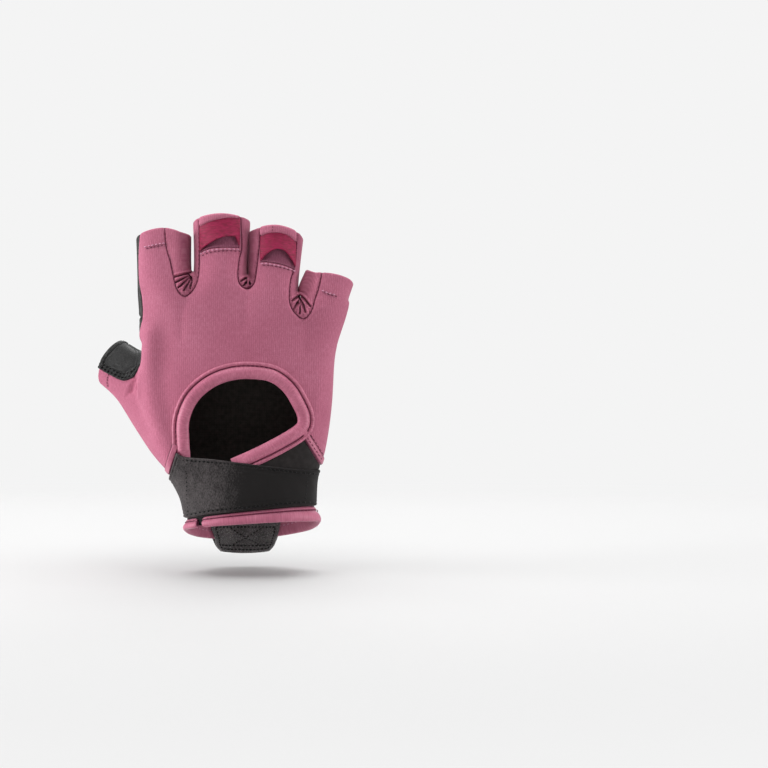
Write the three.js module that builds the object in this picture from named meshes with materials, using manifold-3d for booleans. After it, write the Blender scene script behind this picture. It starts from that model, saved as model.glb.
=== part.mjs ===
// A fingerless weightlifting glove for the right hand, as worn: pink knit back, black leather palm.
// Millimetres, +Z towards the fingers, the back of the hand towards -Y, the thumb towards -X.
// The origin is the middle of the wrist opening, where the hand goes in.

import * as THREE from "three";
import { mergeVertices } from "three/addons/utils/BufferGeometryUtils.js";
import Module from "manifold-3d";

const wasm = await Module();
wasm.setup();

// Driving dimensions
const WALL = 1.8; // knit and leather, sewn and turned
const GAP = 0.3; // between neighbouring pieces
const RECESS = 0.8; // step down to the panel under a finger loop
const LOOP_BED = 0.5; // how deep a loop ribbon sits in that step
const LOOP_PROUD = 0.7; // how far a ribbon or band stands above the knit
const STRAP_THICK = 2.0;
const PATCH_THICK = 1.4;
const HEM_PROUD = 0.8; // turned hems where the knit meets the wrist band
const HEM_WIDE = 3.4;
const BINDING_HALF = 2.7; // half the width of the binding round the opening in the back
const BINDING_PROUD = 1.3;
const CUFF_BINDING_TALL = 5.7; // in the middle of the wrist
const CUFF_BINDING_LEAN = 0.008; // how much taller for each millimetre towards the little finger, as a share
const CUFF_BINDING_PROUD = 0.9;
const CUFF_BINDING_DEEP = 2.7;
const CUFF_SLIT = 1.4; // between the two ends of the wrist binding
const CUFF_SLIT_X = -23.5;
const CUFF_STEPS = 36;
const LOOP_SIDE = 0.8; // how much wider than a loop its recess is
const HEM_LEAD = 4; // how far a hem runs on under the binding of the opening
const RIB_PITCH = 3.7;
const RIB_WIDE = 1.9;
const RIB_PROUD = 0.55;
const RIB_FIRST_X = -50.3;
const RIB_LAST_X = 38;
const RIB_LEAN = 0.14; // how far a rib leans towards the little finger, for each millimetre of height
const RIB_CLEAR = 1.6; // from the double-stitched seam to the foot of a rib
const RIB_STEP = 13; // between the points a rib is drawn through
const PLEAT_PROUD = 0.7;
const PLEAT_HALF = 0.8;
const TAB_THICK = 2;
const TAB_COLUMNS = 10;
const TAB_HANGS_FROM = -2; // below this the tab no longer follows the palm
const SPLIT_Y = 2.0; // where the palm side meets the back at the wrist
const HEM_SIDE_Y = 6; // the knit's hems end where the side of the wrist turns to the palm
const STRAP_REACH = 5; // how far past the middle plane each end of the strap turns
const PATCH_TURN = 4; // how far the patch turns over the thumb's upper side
const INDEX_TURN_X = -42; // how far the leather's turn round the index finger reaches in
const THUMB_TOP = 81.5; // above the thumb the leather follows the index finger
const WRIST_TOP = 15; // rim points below this height belong to the wrist
const NOTCH_TOP = 150; // above every finger rim
const FAR = 90; // past everything

// How finely lines are drawn, and how often the cage is moved towards the points wanted
const NOTCH_STEPS = 12;
const BINDING_STEPS = 28;
const STRAP_STEPS = 6;
const FIT_ROUNDS = 4;

// The hand, cut across from below the cuff to the finger roots; the wall starts at the second cut.
// radialZ and ulnarZ are the height of the cut at the thumb edge and at the little finger's edge, left
// and right those edges, back and palm the depth on each side of the middle plane, rise how far the cut
// climbs on the back, drop how far it sinks on the palm, and thenar how far the ball of the thumb bulges.
const handSections = [
  { radialZ: -10, ulnarZ: -4, left: -28.8, right: 28.2, back: 20.3, palm: 20.6, rise: 1.6, drop: 6.5, thenar: 0 },
  { radialZ: -1, ulnarZ: 5.2, left: -29.6, right: 28.6, back: 20.3, palm: 20.5, rise: 1.6, drop: 6.5, thenar: 0 },
  { radialZ: 9, ulnarZ: 12, left: -31.4, right: 28.6, back: 20, palm: 20.2, rise: 1, drop: 3, thenar: 0.4 },
  { radialZ: 19.5, ulnarZ: 20, left: -37.2, right: 29.8, back: 19, palm: 19.8, rise: 0.5, drop: 0.8, thenar: 1.5 },
  { radialZ: 30, ulnarZ: 30, left: -46, right: 33.6, back: 17.6, palm: 18.4, rise: 0, drop: 0, thenar: 3 },
  { radialZ: 53, ulnarZ: 53, left: -51, right: 36.9, back: 15.2, palm: 15.2, rise: 0, drop: 0, thenar: 3.4 },
  { radialZ: 76, ulnarZ: 74, left: -49.8, right: 38.2, back: 14.2, palm: 13.2, rise: 0, drop: 0, thenar: 0.6 },
  { radialZ: 92, ulnarZ: 87, left: -51.8, right: 41.8, back: 13.9, palm: 13.1, rise: 0, drop: 0, thenar: 0 },
];
const SECTION_ROUND = 2.3; // 2 is an ellipse, more is fuller towards the edges
const COLUMN_SHARES = [-0.935, -0.75, -0.485, -0.224, 0.035, 0.277, 0.513, 0.735, 0.908];
const THENAR_SHARE = -0.55;

// The top cut of the hand: a column for each line along the back, and the webs between them.
const rootColumns = [
  { x: -49.8, back: -6.2, palm: 6.4, z: 104 },
  { x: -40.6, back: -12.2, palm: 11.8, z: 105 },
  { x: -27.6, back: -11.6, palm: 11.4, z: 103 },
  { x: -14.6, back: -13.8, palm: 13.2, z: 107 },
  { x: -1.8, back: -12.4, palm: 12, z: 104 },
  { x: 9.8, back: -13.2, palm: 12.8, z: 103.5 },
  { x: 21.4, back: -11.4, palm: 11.2, z: 93.5 },
  { x: 32.8, back: -11.4, palm: 11, z: 96 },
  { x: 41.2, back: -6.6, palm: 6.6, z: 97.5 },
];
const rootEdges = { radial: { x: -52.7, z: 104 }, ulnar: { x: 44.8, z: 98 } };
const webs = [
  { x: -27.6, z: 112.3 },
  { x: -1.8, z: 110.3 },
  { x: 21.6, z: 102.6 },
];

// Each finger tube: cuts from the root to the rim. backZ, palmZ, leftZ and rightZ are the heights of the
// cut at its four sides, because the rim stands higher on the back than on the palm.
const fingerSections = {
  index: [
    { x: -40.6, half: 12.1, y: 0, depth: 11.8, backZ: 112, palmZ: 111, leftZ: 112.5, rightZ: 116 },
    { x: -41, half: 12.4, y: 1.5, depth: 9.6, backZ: 133.4, palmZ: 130.3, leftZ: 129.8, rightZ: 129.8 },
  ],
  middle: [
    { x: -14.4, half: 12.0, y: 0, depth: 12.5, backZ: 115.5, palmZ: 113, leftZ: 116, rightZ: 114.5 },
    { x: -14.4, half: 12.7, y: 1.8, depth: 10, backZ: 140.4, palmZ: 133, leftZ: 135.5, rightZ: 136 },
  ],
  ring: [
    { x: 9.8, half: 11.1, y: 0, depth: 12, backZ: 112, palmZ: 110, leftZ: 114, rightZ: 107.5 },
    { x: 11.1, half: 12.1, y: 1.8, depth: 9.8, backZ: 134.6, palmZ: 127, leftZ: 131, rightZ: 128.6 },
  ],
  little: [
    { x: 33.6, half: 10.7, y: 0, depth: 10.4, backZ: 101.5, palmZ: 99, leftZ: 106, rightZ: 100.5 },
    { x: 36.5, half: 10.3, y: 1.2, depth: 9, backZ: 112.6, palmZ: 106.3, leftZ: 112.6, rightZ: 107.8 },
  ],
};
const FINGER_CORNER = 0.78;
const FINGER_ROUND = 2.4;

// Where the thumb leaves the hand: back, side and palm points of each cut that its root takes up.
const thumbRoot = [
  { z: 30, backX: -42, backY: -9, sideX: -46, sideY: 3, palmX: -38.5, palmY: 14.5 },
  { z: 53, backX: -49.2, backY: -5, palmX: -42, palmY: 17.4 },
  { z: 76, backX: -48.2, backY: -6.5, sideX: -49.8, sideY: 1.5, palmX: -46, palmY: 8.6 },
];
// The thumb tube: the middle of each cut, the way it points, half its height and half its depth.
const thumbSections = [
  { x: -49.8, y: 10.5, z: 56.9, aimX: -0.82, aimY: 0.5, aimZ: 0.17, high: 16.5, deep: 11 },
  { x: -56.3, y: 15.9, z: 64.5, aimX: -0.78, aimY: 0.5, aimZ: 0.36, high: 12.6, deep: 10.3 },
  { x: -65.3, y: 22, z: 71.1, aimX: -0.747, aimY: 0.5, aimZ: 0.437, high: 10.9, deep: 9.6 },
];
const THUMB_ANGLES = [-40, 0, 40, 90, 140, 180, 220, 270];

// Catmull-Clark surfaces over a cage of four-sided faces
function key(a, b) {
  return a < b ? `${a} ${b}` : `${b} ${a}`;
}

function middle(points, indices) {
  const sum = new THREE.Vector3();
  for (const index of indices) sum.add(points[index]);
  return sum.divideScalar(indices.length);
}

function subdivide({ points, faces }) {
  const edges = new Map();
  const facePoints = faces.map((face) => middle(points, face));
  faces.forEach((face, f) => {
    face.forEach((a, i) => {
      const b = face[(i + 1) % face.length];
      const name = key(a, b);
      if (!edges.has(name)) edges.set(name, { a, b, faces: [] });
      edges.get(name).faces.push(f);
    });
  });
  const around = points.map(() => ({ faces: [], edges: [], rim: [] }));
  faces.forEach((face, f) => face.forEach((v) => around[v].faces.push(facePoints[f])));
  for (const edge of edges.values()) {
    const half = middle(points, [edge.a, edge.b]);
    for (const [v, other] of [[edge.a, edge.b], [edge.b, edge.a]]) {
      around[v].edges.push(half);
      if (edge.faces.length === 1) around[v].rim.push(points[other]);
    }
  }
  const moved = points.map((point, v) => {
    const { faces: faceMiddles, edges: edgeMiddles, rim } = around[v];
    if (rim.length === 2) {
      return point.clone().multiplyScalar(0.75).addScaledVector(rim[0], 0.125).addScaledVector(rim[1], 0.125);
    }
    const n = faceMiddles.length;
    const average = (list) => list.reduce((sum, p) => sum.add(p), new THREE.Vector3()).divideScalar(list.length);
    return point
      .clone()
      .multiplyScalar((n - 3) / n)
      .addScaledVector(average(faceMiddles), 1 / n)
      .addScaledVector(average(edgeMiddles), 2 / n);
  });
  const firstEdge = moved.length;
  let next = firstEdge;
  for (const edge of edges.values()) {
    edge.index = next++;
    const half = middle(points, [edge.a, edge.b]);
    if (edge.faces.length === 1) {
      moved.push(half);
    } else {
      const faceHalf = middle(facePoints, edge.faces);
      moved.push(half.add(faceHalf).multiplyScalar(0.5));
    }
  }
  const firstFace = moved.length;
  moved.push(...facePoints);
  const smaller = [];
  faces.forEach((face, f) => {
    face.forEach((v, i) => {
      const after = edges.get(key(v, face[(i + 1) % face.length])).index;
      const before = edges.get(key(face[(i + face.length - 1) % face.length], v)).index;
      smaller.push([v, after, firstFace + f, before]);
    });
  });
  return { points: moved, faces: smaller };
}

// The places where a mesh's own points end up on its smooth surface
function settled(mesh) {
  const finer = subdivide(subdivide(mesh));
  return finer.points.slice(0, mesh.points.length);
}

// Moves the cage until its smooth surface runs close to the points wanted
function fitted(wanted, faces, rounds) {
  const points = wanted.map((p) => p.clone());
  for (let round = 0; round < rounds; round++) {
    const reached = settled({ points, faces });
    points.forEach((p, i) => p.add(wanted[i]).sub(reached[i]));
  }
  return { points, faces };
}

// The cage of the glove
function arc(share, power) {
  return Math.pow(1 - Math.pow(Math.abs(share), power), 1 / power);
}

function mix(a, b, t) {
  return a + (b - a) * t;
}

// One cut of the hand, in order: thumb edge, nine lines over the back, outer edge, nine over the palm
function handRing(section) {
  const centre = (section.left + section.right) / 2;
  const half = (section.right - section.left) / 2;
  const height = (share) => mix(section.radialZ, section.ulnarZ, (share + 1) / 2);
  const bulge = (share) => section.thenar * Math.exp(-Math.pow((share - THENAR_SHARE) / 0.3, 2));
  const back = COLUMN_SHARES.map((share) => {
    const lift = arc(share, SECTION_ROUND);
    const z = height(share) + section.rise * lift;
    return new THREE.Vector3(centre + half * share, -section.back * lift, z);
  });
  const palm = COLUMN_SHARES.map((share) => {
    const lift = arc(share, SECTION_ROUND);
    const z = height(share) - section.drop * lift;
    return new THREE.Vector3(centre + half * share, section.palm * lift + bulge(share), z);
  }).reverse();
  const radial = new THREE.Vector3(section.left, 0, section.radialZ);
  const ulnar = new THREE.Vector3(section.right, 0, section.ulnarZ);
  return [radial, ...back, ulnar, ...palm];
}

function rootRing() {
  const back = rootColumns.map((c) => new THREE.Vector3(c.x, c.back, c.z));
  const palm = rootColumns.map((c) => new THREE.Vector3(c.x, c.palm, c.z - 1)).reverse();
  const { radial, ulnar } = rootEdges;
  return [new THREE.Vector3(radial.x, 0, radial.z), ...back, new THREE.Vector3(ulnar.x, 0, ulnar.z), ...palm];
}

// Back left, back, back right, right, palm right, palm, palm left, left
function fingerRing(s) {
  const across = FINGER_CORNER * s.half;
  const deep = arc(FINGER_CORNER, FINGER_ROUND) * s.depth;
  const corner = (side, face) => {
    const sideZ = side < 0 ? s.leftZ : s.rightZ;
    const faceZ = face < 0 ? s.backZ : s.palmZ;
    return new THREE.Vector3(s.x + side * across, s.y + face * deep, (sideZ + faceZ) / 2);
  };
  return [
    corner(-1, -1),
    new THREE.Vector3(s.x, s.y - s.depth, s.backZ),
    corner(1, -1),
    new THREE.Vector3(s.x + s.half, s.y, s.rightZ),
    corner(1, 1),
    new THREE.Vector3(s.x, s.y + s.depth, s.palmZ),
    corner(-1, 1),
    new THREE.Vector3(s.x - s.half, s.y, s.leftZ),
  ];
}

function thumbRing(s) {
  const aim = new THREE.Vector3(s.aimX, s.aimY, s.aimZ).normalize();
  const up = new THREE.Vector3(-aim.z, 0, aim.x).normalize().negate();
  const palmward = new THREE.Vector3().crossVectors(aim, up).normalize();
  return THUMB_ANGLES.map((degrees) => {
    const angle = THREE.MathUtils.degToRad(degrees);
    return new THREE.Vector3(s.x, s.y, s.z)
      .addScaledVector(up, s.high * Math.cos(angle))
      .addScaledVector(palmward, s.deep * Math.sin(angle));
  });
}

function gloveCage() {
  const points = [];
  const faces = [];
  const add = (ring) => ring.map((p) => points.push(p) - 1);
  const rows = handSections.map((section) => handRing(section));
  const thumbFirst = handSections.findIndex((section) => section.radialZ === thumbRoot[0].z);
  thumbRoot.forEach((cut, i) => {
    const row = rows[thumbFirst + i];
    row[1].set(cut.backX, cut.backY, cut.z);
    row[19].set(cut.palmX, cut.palmY, cut.z);
    if (cut.sideX !== undefined) row[0].set(cut.sideX, cut.sideY, cut.z);
  });
  rows.push(rootRing());
  const rings = rows.map((row) => add(row));
  const thumbLast = thumbFirst + thumbRoot.length - 1;
  for (let r = 0; r + 1 < rings.length; r++) {
    for (let k = 0; k < 20; k++) {
      const next = (k + 1) % 20;
      const thumbHole = r >= thumbFirst && r < thumbLast && (k === 0 || k === 19);
      if (!thumbHole) faces.push([rings[r][k], rings[r][next], rings[r + 1][next], rings[r + 1][k]]);
    }
  }
  const top = rings[rings.length - 1];
  const [webOne, webTwo, webThree] = add(webs.map((web) => new THREE.Vector3(web.x, 0, web.z)));
  const tube = (ring, sections, ringOf) => {
    let below = ring;
    for (const section of sections) {
      const above = add(ringOf(section));
      below.forEach((a, i) => {
        const j = (i + 1) % below.length;
        faces.push([a, below[j], above[j], above[i]]);
      });
      below = above;
    }
  };
  const roots = {
    index: [top[1], top[2], top[3], webOne, top[17], top[18], top[19], top[0]],
    middle: [top[3], top[4], top[5], webTwo, top[15], top[16], top[17], webOne],
    ring: [top[5], top[6], top[7], webThree, top[13], top[14], top[15], webTwo],
    little: [top[7], top[8], top[9], top[10], top[11], top[12], top[13], webThree],
  };
  for (const [finger, ring] of Object.entries(roots)) tube(ring, fingerSections[finger], fingerRing);
  const low = rings[thumbFirst];
  const high = rings[thumbLast];
  const between = rings.slice(thumbFirst + 1, thumbLast);
  const thumbBase = [high[1], high[0], high[19]];
  for (const ring of [...between].reverse()) thumbBase.push(ring[19]);
  thumbBase.push(low[19], low[0], low[1]);
  for (const ring of between) thumbBase.push(ring[1]);
  tube(thumbBase, thumbSections, thumbRing);
  return { points, faces, unused: between.map((ring) => ring[0]) };
}

// Drops the points that no face uses, which are the ones inside the thumb's root
function compact({ points, faces, unused }) {
  const keep = points.map((_, i) => i).filter((i) => !unused.includes(i));
  const place = new Map(keep.map((old, now) => [old, now]));
  return { points: keep.map((i) => points[i]), faces: faces.map((face) => face.map((i) => place.get(i))) };
}

const wantedCage = compact(gloveCage());
const cage = fitted(wantedCage.points, wantedCage.faces, FIT_ROUNDS);
const coarse = subdivide(cage);
const surface = { points: settled(coarse), faces: coarse.faces };

// Triangles, with each face split along its shorter diagonal
function triangles(points, faces) {
  return faces.flatMap(([a, b, c, d]) => {
    const first = points[a].distanceTo(points[c]) <= points[b].distanceTo(points[d]);
    return first ? [[a, b, c], [a, c, d]] : [[a, b, d], [b, c, d]];
  });
}

const BELOW_CUFF = 4 * 2 * (COLUMN_SHARES.length + 1); // faces between the first two cuts
const wallFaces = surface.faces.slice(BELOW_CUFF);
const surfaceTriangles = triangles(surface.points, surface.faces);
const wallTriangles = triangles(surface.points, wallFaces);

function vertexNormals(points, tris) {
  const normals = points.map(() => new THREE.Vector3());
  for (const [a, b, c] of tris) {
    const ab = points[b].clone().sub(points[a]);
    const ac = points[c].clone().sub(points[a]);
    const normal = ab.cross(ac);
    for (const v of [a, b, c]) normals[v].add(normal);
  }
  return normals.map((n) => n.normalize());
}

const surfaceNormals = vertexNormals(surface.points, surfaceTriangles);

// Solids
function solid(points, tris) {
  const vertProperties = new Float32Array(points.flatMap((p) => [p.x, p.y, p.z]));
  const triVerts = new Uint32Array(tris.flat());
  return new wasm.Manifold(new wasm.Mesh({ numProp: 3, vertProperties, triVerts }));
}

function solidOf(geometry) {
  const bare = geometry.clone();
  bare.deleteAttribute("normal");
  bare.deleteAttribute("uv");
  const merged = mergeVertices(bare, 1e-4);
  const position = merged.attributes.position;
  const vertProperties = new Float32Array(position.array);
  const triVerts = new Uint32Array(merged.index.array);
  return new wasm.Manifold(new wasm.Mesh({ numProp: 3, vertProperties, triVerts }));
}

// A closed skin between two distances from the glove's surface, open at the wrist and the finger rims
function skin(inner, outer, faces = surfaceTriangles) {
  const count = surface.points.length;
  const at = (distance) => surface.points.map((p, i) => p.clone().addScaledVector(surfaceNormals[i], distance));
  const points = [...at(outer), ...at(inner)];
  const tris = [];
  const rim = new Map();
  for (const [a, b, c] of faces) {
    tris.push([a, b, c], [count + a, count + c, count + b]);
    for (const [p, q] of [[a, b], [b, c], [c, a]]) {
      if (rim.has(key(p, q))) rim.delete(key(p, q));
      else rim.set(key(p, q), [p, q]);
    }
  }
  for (const [p, q] of rim.values()) tris.push([q, p, count + p], [q, count + p, count + q]);
  return solid(points, tris);
}

// A straight-sided block over an outline seen from the back, between two depths
function prism(outline, fromY, toY) {
  const shape = new THREE.Shape(outline.map(([x, z]) => new THREE.Vector2(x, z)));
  const geometry = new THREE.ExtrudeGeometry(shape, { depth: toY - fromY, bevelEnabled: false });
  geometry.rotateX(Math.PI / 2);
  geometry.translate(0, toY, 0);
  return solidOf(geometry);
}

// The block on the far side of a plane, along the plane's direction
function beyond(direction, distance) {
  const normal = direction.clone().normalize();
  const geometry = new THREE.BoxGeometry(4 * FAR, 4 * FAR, 4 * FAR);
  geometry.translate(0, 0, 2 * FAR);
  geometry.applyQuaternion(new THREE.Quaternion().setFromUnitVectors(new THREE.Vector3(0, 0, 1), normal));
  geometry.translate(normal.x * distance, normal.y * distance, normal.z * distance);
  return solidOf(geometry);
}

// A smooth line through points seen from the back, in a given number of steps
function smooth(points, steps, closed = false) {
  const curve = new THREE.CatmullRomCurve3(points.map(([x, z]) => new THREE.Vector3(x, 0, z)), closed);
  const line = curve.getPoints(steps);
  if (closed) line.pop();
  return line.map((p) => [p.x, p.z]);
}

// The same outline, moved out (or in) by a distance; the outline runs against the clock
function grown(outline, distance) {
  const count = outline.length;
  return outline.map(([x, z], i) => {
    const before = outline[(i + count - 1) % count];
    const after = outline[(i + 1) % count];
    const inward = new THREE.Vector2(x - before[0], z - before[1]).normalize();
    const outward = new THREE.Vector2(after[0] - x, after[1] - z).normalize();
    const along = inward.clone().add(outward).normalize();
    const stretch = distance / Math.max(0.4, along.dot(inward));
    return [x + along.y * stretch, z - along.x * stretch];
  });
}

function turned(outline) {
  const area = THREE.ShapeUtils.area(outline.map(([x, z]) => new THREE.Vector2(x, z)));
  return area > 0 ? outline : [...outline].reverse();
}

// Where a line along Y through (x, z) meets the glove's surface: side -1 is the back, 1 is the palm
function touch(x, z, side) {
  let best = null;
  for (const [a, b, c] of surfaceTriangles) {
    const [p, q, r] = [surface.points[a], surface.points[b], surface.points[c]];
    const area = (q.x - p.x) * (r.z - p.z) - (r.x - p.x) * (q.z - p.z);
    if (Math.abs(area) < 1e-9) continue;
    const v = ((x - p.x) * (r.z - p.z) - (r.x - p.x) * (z - p.z)) / area;
    const w = ((q.x - p.x) * (z - p.z) - (x - p.x) * (q.z - p.z)) / area;
    const u = 1 - v - w;
    if (Math.min(u, v, w) < -1e-6) continue;
    const y = u * p.y + v * q.y + w * r.y;
    if (best !== null && side * y <= side * best.point.y) continue;
    const normal = new THREE.Vector3()
      .addScaledVector(surfaceNormals[a], u)
      .addScaledVector(surfaceNormals[b], v)
      .addScaledVector(surfaceNormals[c], w)
      .normalize();
    best = { point: new THREE.Vector3(x, y, z), normal };
  }
  return best;
}

// A strip with one section along a line of points, each with its own outward direction and width
function sweep(path, section) {
  const size = section.length;
  const end = path.length - 1;
  const points = [];
  path.forEach(({ point, normal, wide = 1 }, i) => {
    const before = path[Math.max(0, i - 1)].point;
    const after = path[Math.min(end, i + 1)].point;
    const along = after.clone().sub(before).normalize();
    const side = new THREE.Vector3().crossVectors(normal, along).normalize();
    const up = new THREE.Vector3().crossVectors(along, side).normalize();
    for (const [s, h] of section) points.push(point.clone().addScaledVector(side, s * wide).addScaledVector(up, h));
  });
  const tris = [];
  for (let i = 0; i < end; i++) {
    for (let k = 0; k < size; k++) {
      const l = (k + 1) % size;
      const [a, b, c, d] = [i * size + k, i * size + l, (i + 1) * size + l, (i + 1) * size + k];
      tris.push([a, b, c], [a, c, d]);
    }
  }
  const last = end * size;
  for (let k = 1; k + 1 < size; k++) tris.push([0, k + 1, k], [last, last + k, last + k + 1]);
  return solid(points, tris);
}

// A round-cornered section: half its width, and its heights above and below the surface
function roundSection(half, above, below, corners = 6) {
  const centre = (above - below) / 2;
  const tall = (above + below) / 2;
  return Array.from({ length: corners }, (_, i) => {
    const angle = ((i + 0.5) / corners) * 2 * Math.PI;
    const square = 1 / Math.pow(Math.pow(Math.cos(angle), 4) + Math.pow(Math.sin(angle), 4), 0.25);
    return [half * Math.cos(angle) * square, centre + tall * Math.sin(angle) * square];
  });
}

// Seams, seen from the back. Each notch runs from its left top, round its bottom, to its right top.
const notches = {
  index_middle: {
    back: [[-39.9, 136], [-39.2, 125], [-37.2, 118], [-35.6, 111], [-34, 105], [-30.8, 101.7], [-27.6, 103.6],
      [-25.2, 108], [-24.3, 114], [-24.2, 124], [-24.4, 140]],
    palm: [[-33.4, 134], [-32.3, 122], [-30.8, 112], [-29.4, 105.4], [-26.7, 101.9], [-24, 103.6], [-22.2, 108],
      [-21, 117], [-20.8, 138]],
  },
  middle_ring: {
    back: [[-5.1, 142], [-4.3, 125], [-5.4, 119], [-6, 111.8], [-5.2, 107.6], [-2.1, 105.3], [0.8, 107.4],
      [1.9, 112], [2.9, 120], [3.6, 127], [3.7, 137]],
    palm: [[-7.6, 136], [-7.2, 117], [-6.5, 108.4], [-5, 103.4], [-2.4, 100.3], [0, 102.8], [1.4, 107.6],
      [3.2, 116.5], [4.3, 131]],
  },
  ring_little: {
    back: [[20.6, 135], [20.7, 125], [19.8, 115], [18.1, 109], [17.6, 100], [19.4, 95], [23.8, 91.3],
      [27.2, 94.6], [29.2, 101], [31, 106.5], [32.9, 117]],
    palm: [[16.5, 130], [16.2, 113], [15.7, 102.7], [16, 95.6], [18.9, 89.8], [21.6, 92.2], [23.4, 97.6],
      [28.8, 112]],
  },
};

// The leather's own outline on the palm side
const leather = {
  thumbSeam: [[-74, 65.6], [-68.2, 60.6], [-60, 52.5], [-52, 42.5], [-44, 31.5], [-36.5, 22], [-28.5, 12.3]],
  littleSeam: [[31.4, 25.6], [32.6, 31.7], [35, 50.3], [36, 70], [38.6, 82], [41.8, 94], [43.4, 103.6],
    [44.4, 118]],
  gripSeam: [[-62, 94.4], [-51.2, 92.2], [-36.7, 88.1], [-21.7, 85.5], [-6.5, 83.6], [4.9, 81.4], [16.3, 81],
    [27, 84], [40.5, 89.6], [60, 97]],
};
const WRIST_SEAM_RADIAL = { innerX: -34, innerZ: 29.9, outerX: -38, outerZ: 18.6 };
const WRIST_SEAM_ULNAR = { innerX: 23.9, innerZ: 36.8, outerX: 31.4, outerZ: 24.4 };

// The middle line of the binding round the opening in the back, from its left foot to the end of its lower arm
const bindingLine = [
  [-30.6, 25.6], [-31.4, 35], [-31.3, 45.5], [-27, 55.4], [-18.9, 62.6], [-9.5, 66.3], [0.5, 67], [10, 65.4],
  [17, 60.2], [21.4, 53.4], [24, 47.2], [22.8, 42], [17.8, 37.5], [9.6, 32.8], [1.4, 28.8], [-8, 24.6],
];

// The wrist strap, from its corner by the knit's hem, along the bottom and back over the top
const strap = {
  low: [[-46, -0.8], [-30, 0.2], [-20, 2], [-10, 3.1], [4, 4.4], [15, 5.6], [23.7, 6], [44, 4.6]],
  top: [[44, 22.4], [24.4, 22.4], [9.5, 23.8], [-5, 25.6], [-17, 27.2], [-28, 28.1], [-33.6, 28.8]],
  hemEdge: [[-37.6, 18.2], [-46, 16]],
};

// The finger loops: the recess from the top of the knit panel up, and the lower edges of band and ribbon
const loops = {
  middle: {
    left: -23.9, right: -5.4,
    panelTop: [[-23.9, 122], [-19, 123.8], [-12, 124.4], [-5.4, 124.2]],
    ribbonLow: [[-23.9, 122.9], [-20.7, 125], [-15.2, 128], [-11.3, 129.1], [-5.4, 129.1]],
    bandLow: [[-23.9, 133.4], [-18.9, 136], [-11.3, 137.7], [-5.4, 137.5]],
    top: 143,
  },
  ring: {
    left: 4, right: 20.3,
    panelTop: [[4, 117.8], [8, 117.6], [14.7, 116.2], [20.3, 114.2]],
    ribbonLow: [[4, 119.8], [7.6, 122.1], [12, 123.6], [15.4, 122.6], [18.2, 119], [20.3, 114.9]],
    bandLow: [[4, 129.1], [7.6, 130.6], [12.2, 130.9], [16.1, 129.9], [20.3, 126.6]],
    top: 138,
  },
};

// The thumb patch, and the pull tab at the heel of the palm
const patchOutline = [
  [-57, 88], [-51.8, 76.6], [-51.2, 71], [-51.6, 66.4], [-54, 65], [-57.6, 63.4], [-60.6, 63.3], [-66, 65.8],
  [-72.4, 69.6], [-80, 76], [-70, 90],
];
const pullTab = [
  { z: 5, left: -20, right: 12.6, stand: 0.3 },
  { z: -2.5, left: -20, right: 12.6, stand: 0.4 },
  { z: -4.5, left: -19.6, right: 12.2, stand: 1.3 },
  { z: -9.2, left: -18.4, right: 10.9, stand: 1.4 },
  { z: -13.6, left: -16.7, right: 9.2, stand: 1.2 },
  { z: -16.2, left: -14.6, right: 7, stand: 1.1 },
];

// Regions that share out the glove's wall
const wall = skin(-WALL, 0, wallTriangles);
const thumbPlane = new THREE.Vector3(0.954, 1, 0.263); // the leather meets the knit along it on the thumb
const THUMB_PLANE_Y = -18.9;

function block(outline) {
  return prism(turned(outline), -FAR, FAR);
}

function notchOutline(line, wider) {
  const points = smooth(line, NOTCH_STEPS);
  const outline = [...points, [points[points.length - 1][0], NOTCH_TOP], [points[0][0], NOTCH_TOP]];
  return grown(turned(outline), wider);
}

function notchRegion(notch, wider) {
  const back = prism(notchOutline(notch.back, wider), -FAR, 0.01);
  return back.add(prism(notchOutline(notch.palm, wider), 0, FAR));
}

function palmOutline(wider) {
  const outline = [
    ...smooth(leather.thumbSeam, 8),
    [-39.6, 19.6],
    [-60, 22],
    [-60, -30],
    [60, -30],
    [60, 25],
    ...smooth(leather.littleSeam, 8),
    [60, 150],
    [-85, 150],
    [-85, 66],
  ];
  return grown(turned(outline), wider);
}

// The leather's turn round the thumb side of the index finger, seen from the side, and how far in it reaches
const indexTurn = [[-4, 150], [-4, 87], [2, 80], [5, 74], [FAR, 74], [FAR, 150]];

// Everything that is leather on the palm side, with that turn
function leatherRegion(wider) {
  const palmward = beyond(new THREE.Vector3(0, 1, 0), SPLIT_Y - wider);
  const thumbward = beyond(thumbPlane, THUMB_PLANE_Y / thumbPlane.length() - wider);
  const below = beyond(new THREE.Vector3(0, 0, -1), -THUMB_TOP);
  const lower = palmward.intersect(thumbward).intersect(below);
  const upper = prism([[-56.5, THUMB_TOP - 1], [60, THUMB_TOP - 1], [60, 150], [-56.5, 150]], -wider, FAR);
  const shape = new THREE.Shape(indexTurn.map(([y, z]) => new THREE.Vector2(y - wider, z - wider)));
  const geometry = new THREE.ExtrudeGeometry(shape, { depth: INDEX_TURN_X + 56.5, bevelEnabled: false });
  geometry.applyMatrix4(new THREE.Matrix4().makeBasis(
    new THREE.Vector3(0, 1, 0), new THREE.Vector3(0, 0, 1), new THREE.Vector3(1, 0, 0)));
  geometry.translate(-56.5, 0, 0);
  return prism(palmOutline(wider), -FAR, FAR).intersect(lower.add(upper).add(solidOf(geometry)));
}

function gripRegion(lower) {
  const seam = smooth(leather.gripSeam, 12).map(([x, z]) => [x, z + lower]);
  return block([...seam, [60, 160], [-62, 160]]);
}

// The pointed end of the knit that runs on under the thumb, on the palm side
function thumbTip(wider) {
  const outline = turned([[-60, 22], [-39.6, 19.6], [-28.5, 12.3], [-20, 40], [-60, 40]]);
  return prism(grown(outline, wider), HEM_SIDE_Y - wider, FAR);
}

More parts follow.
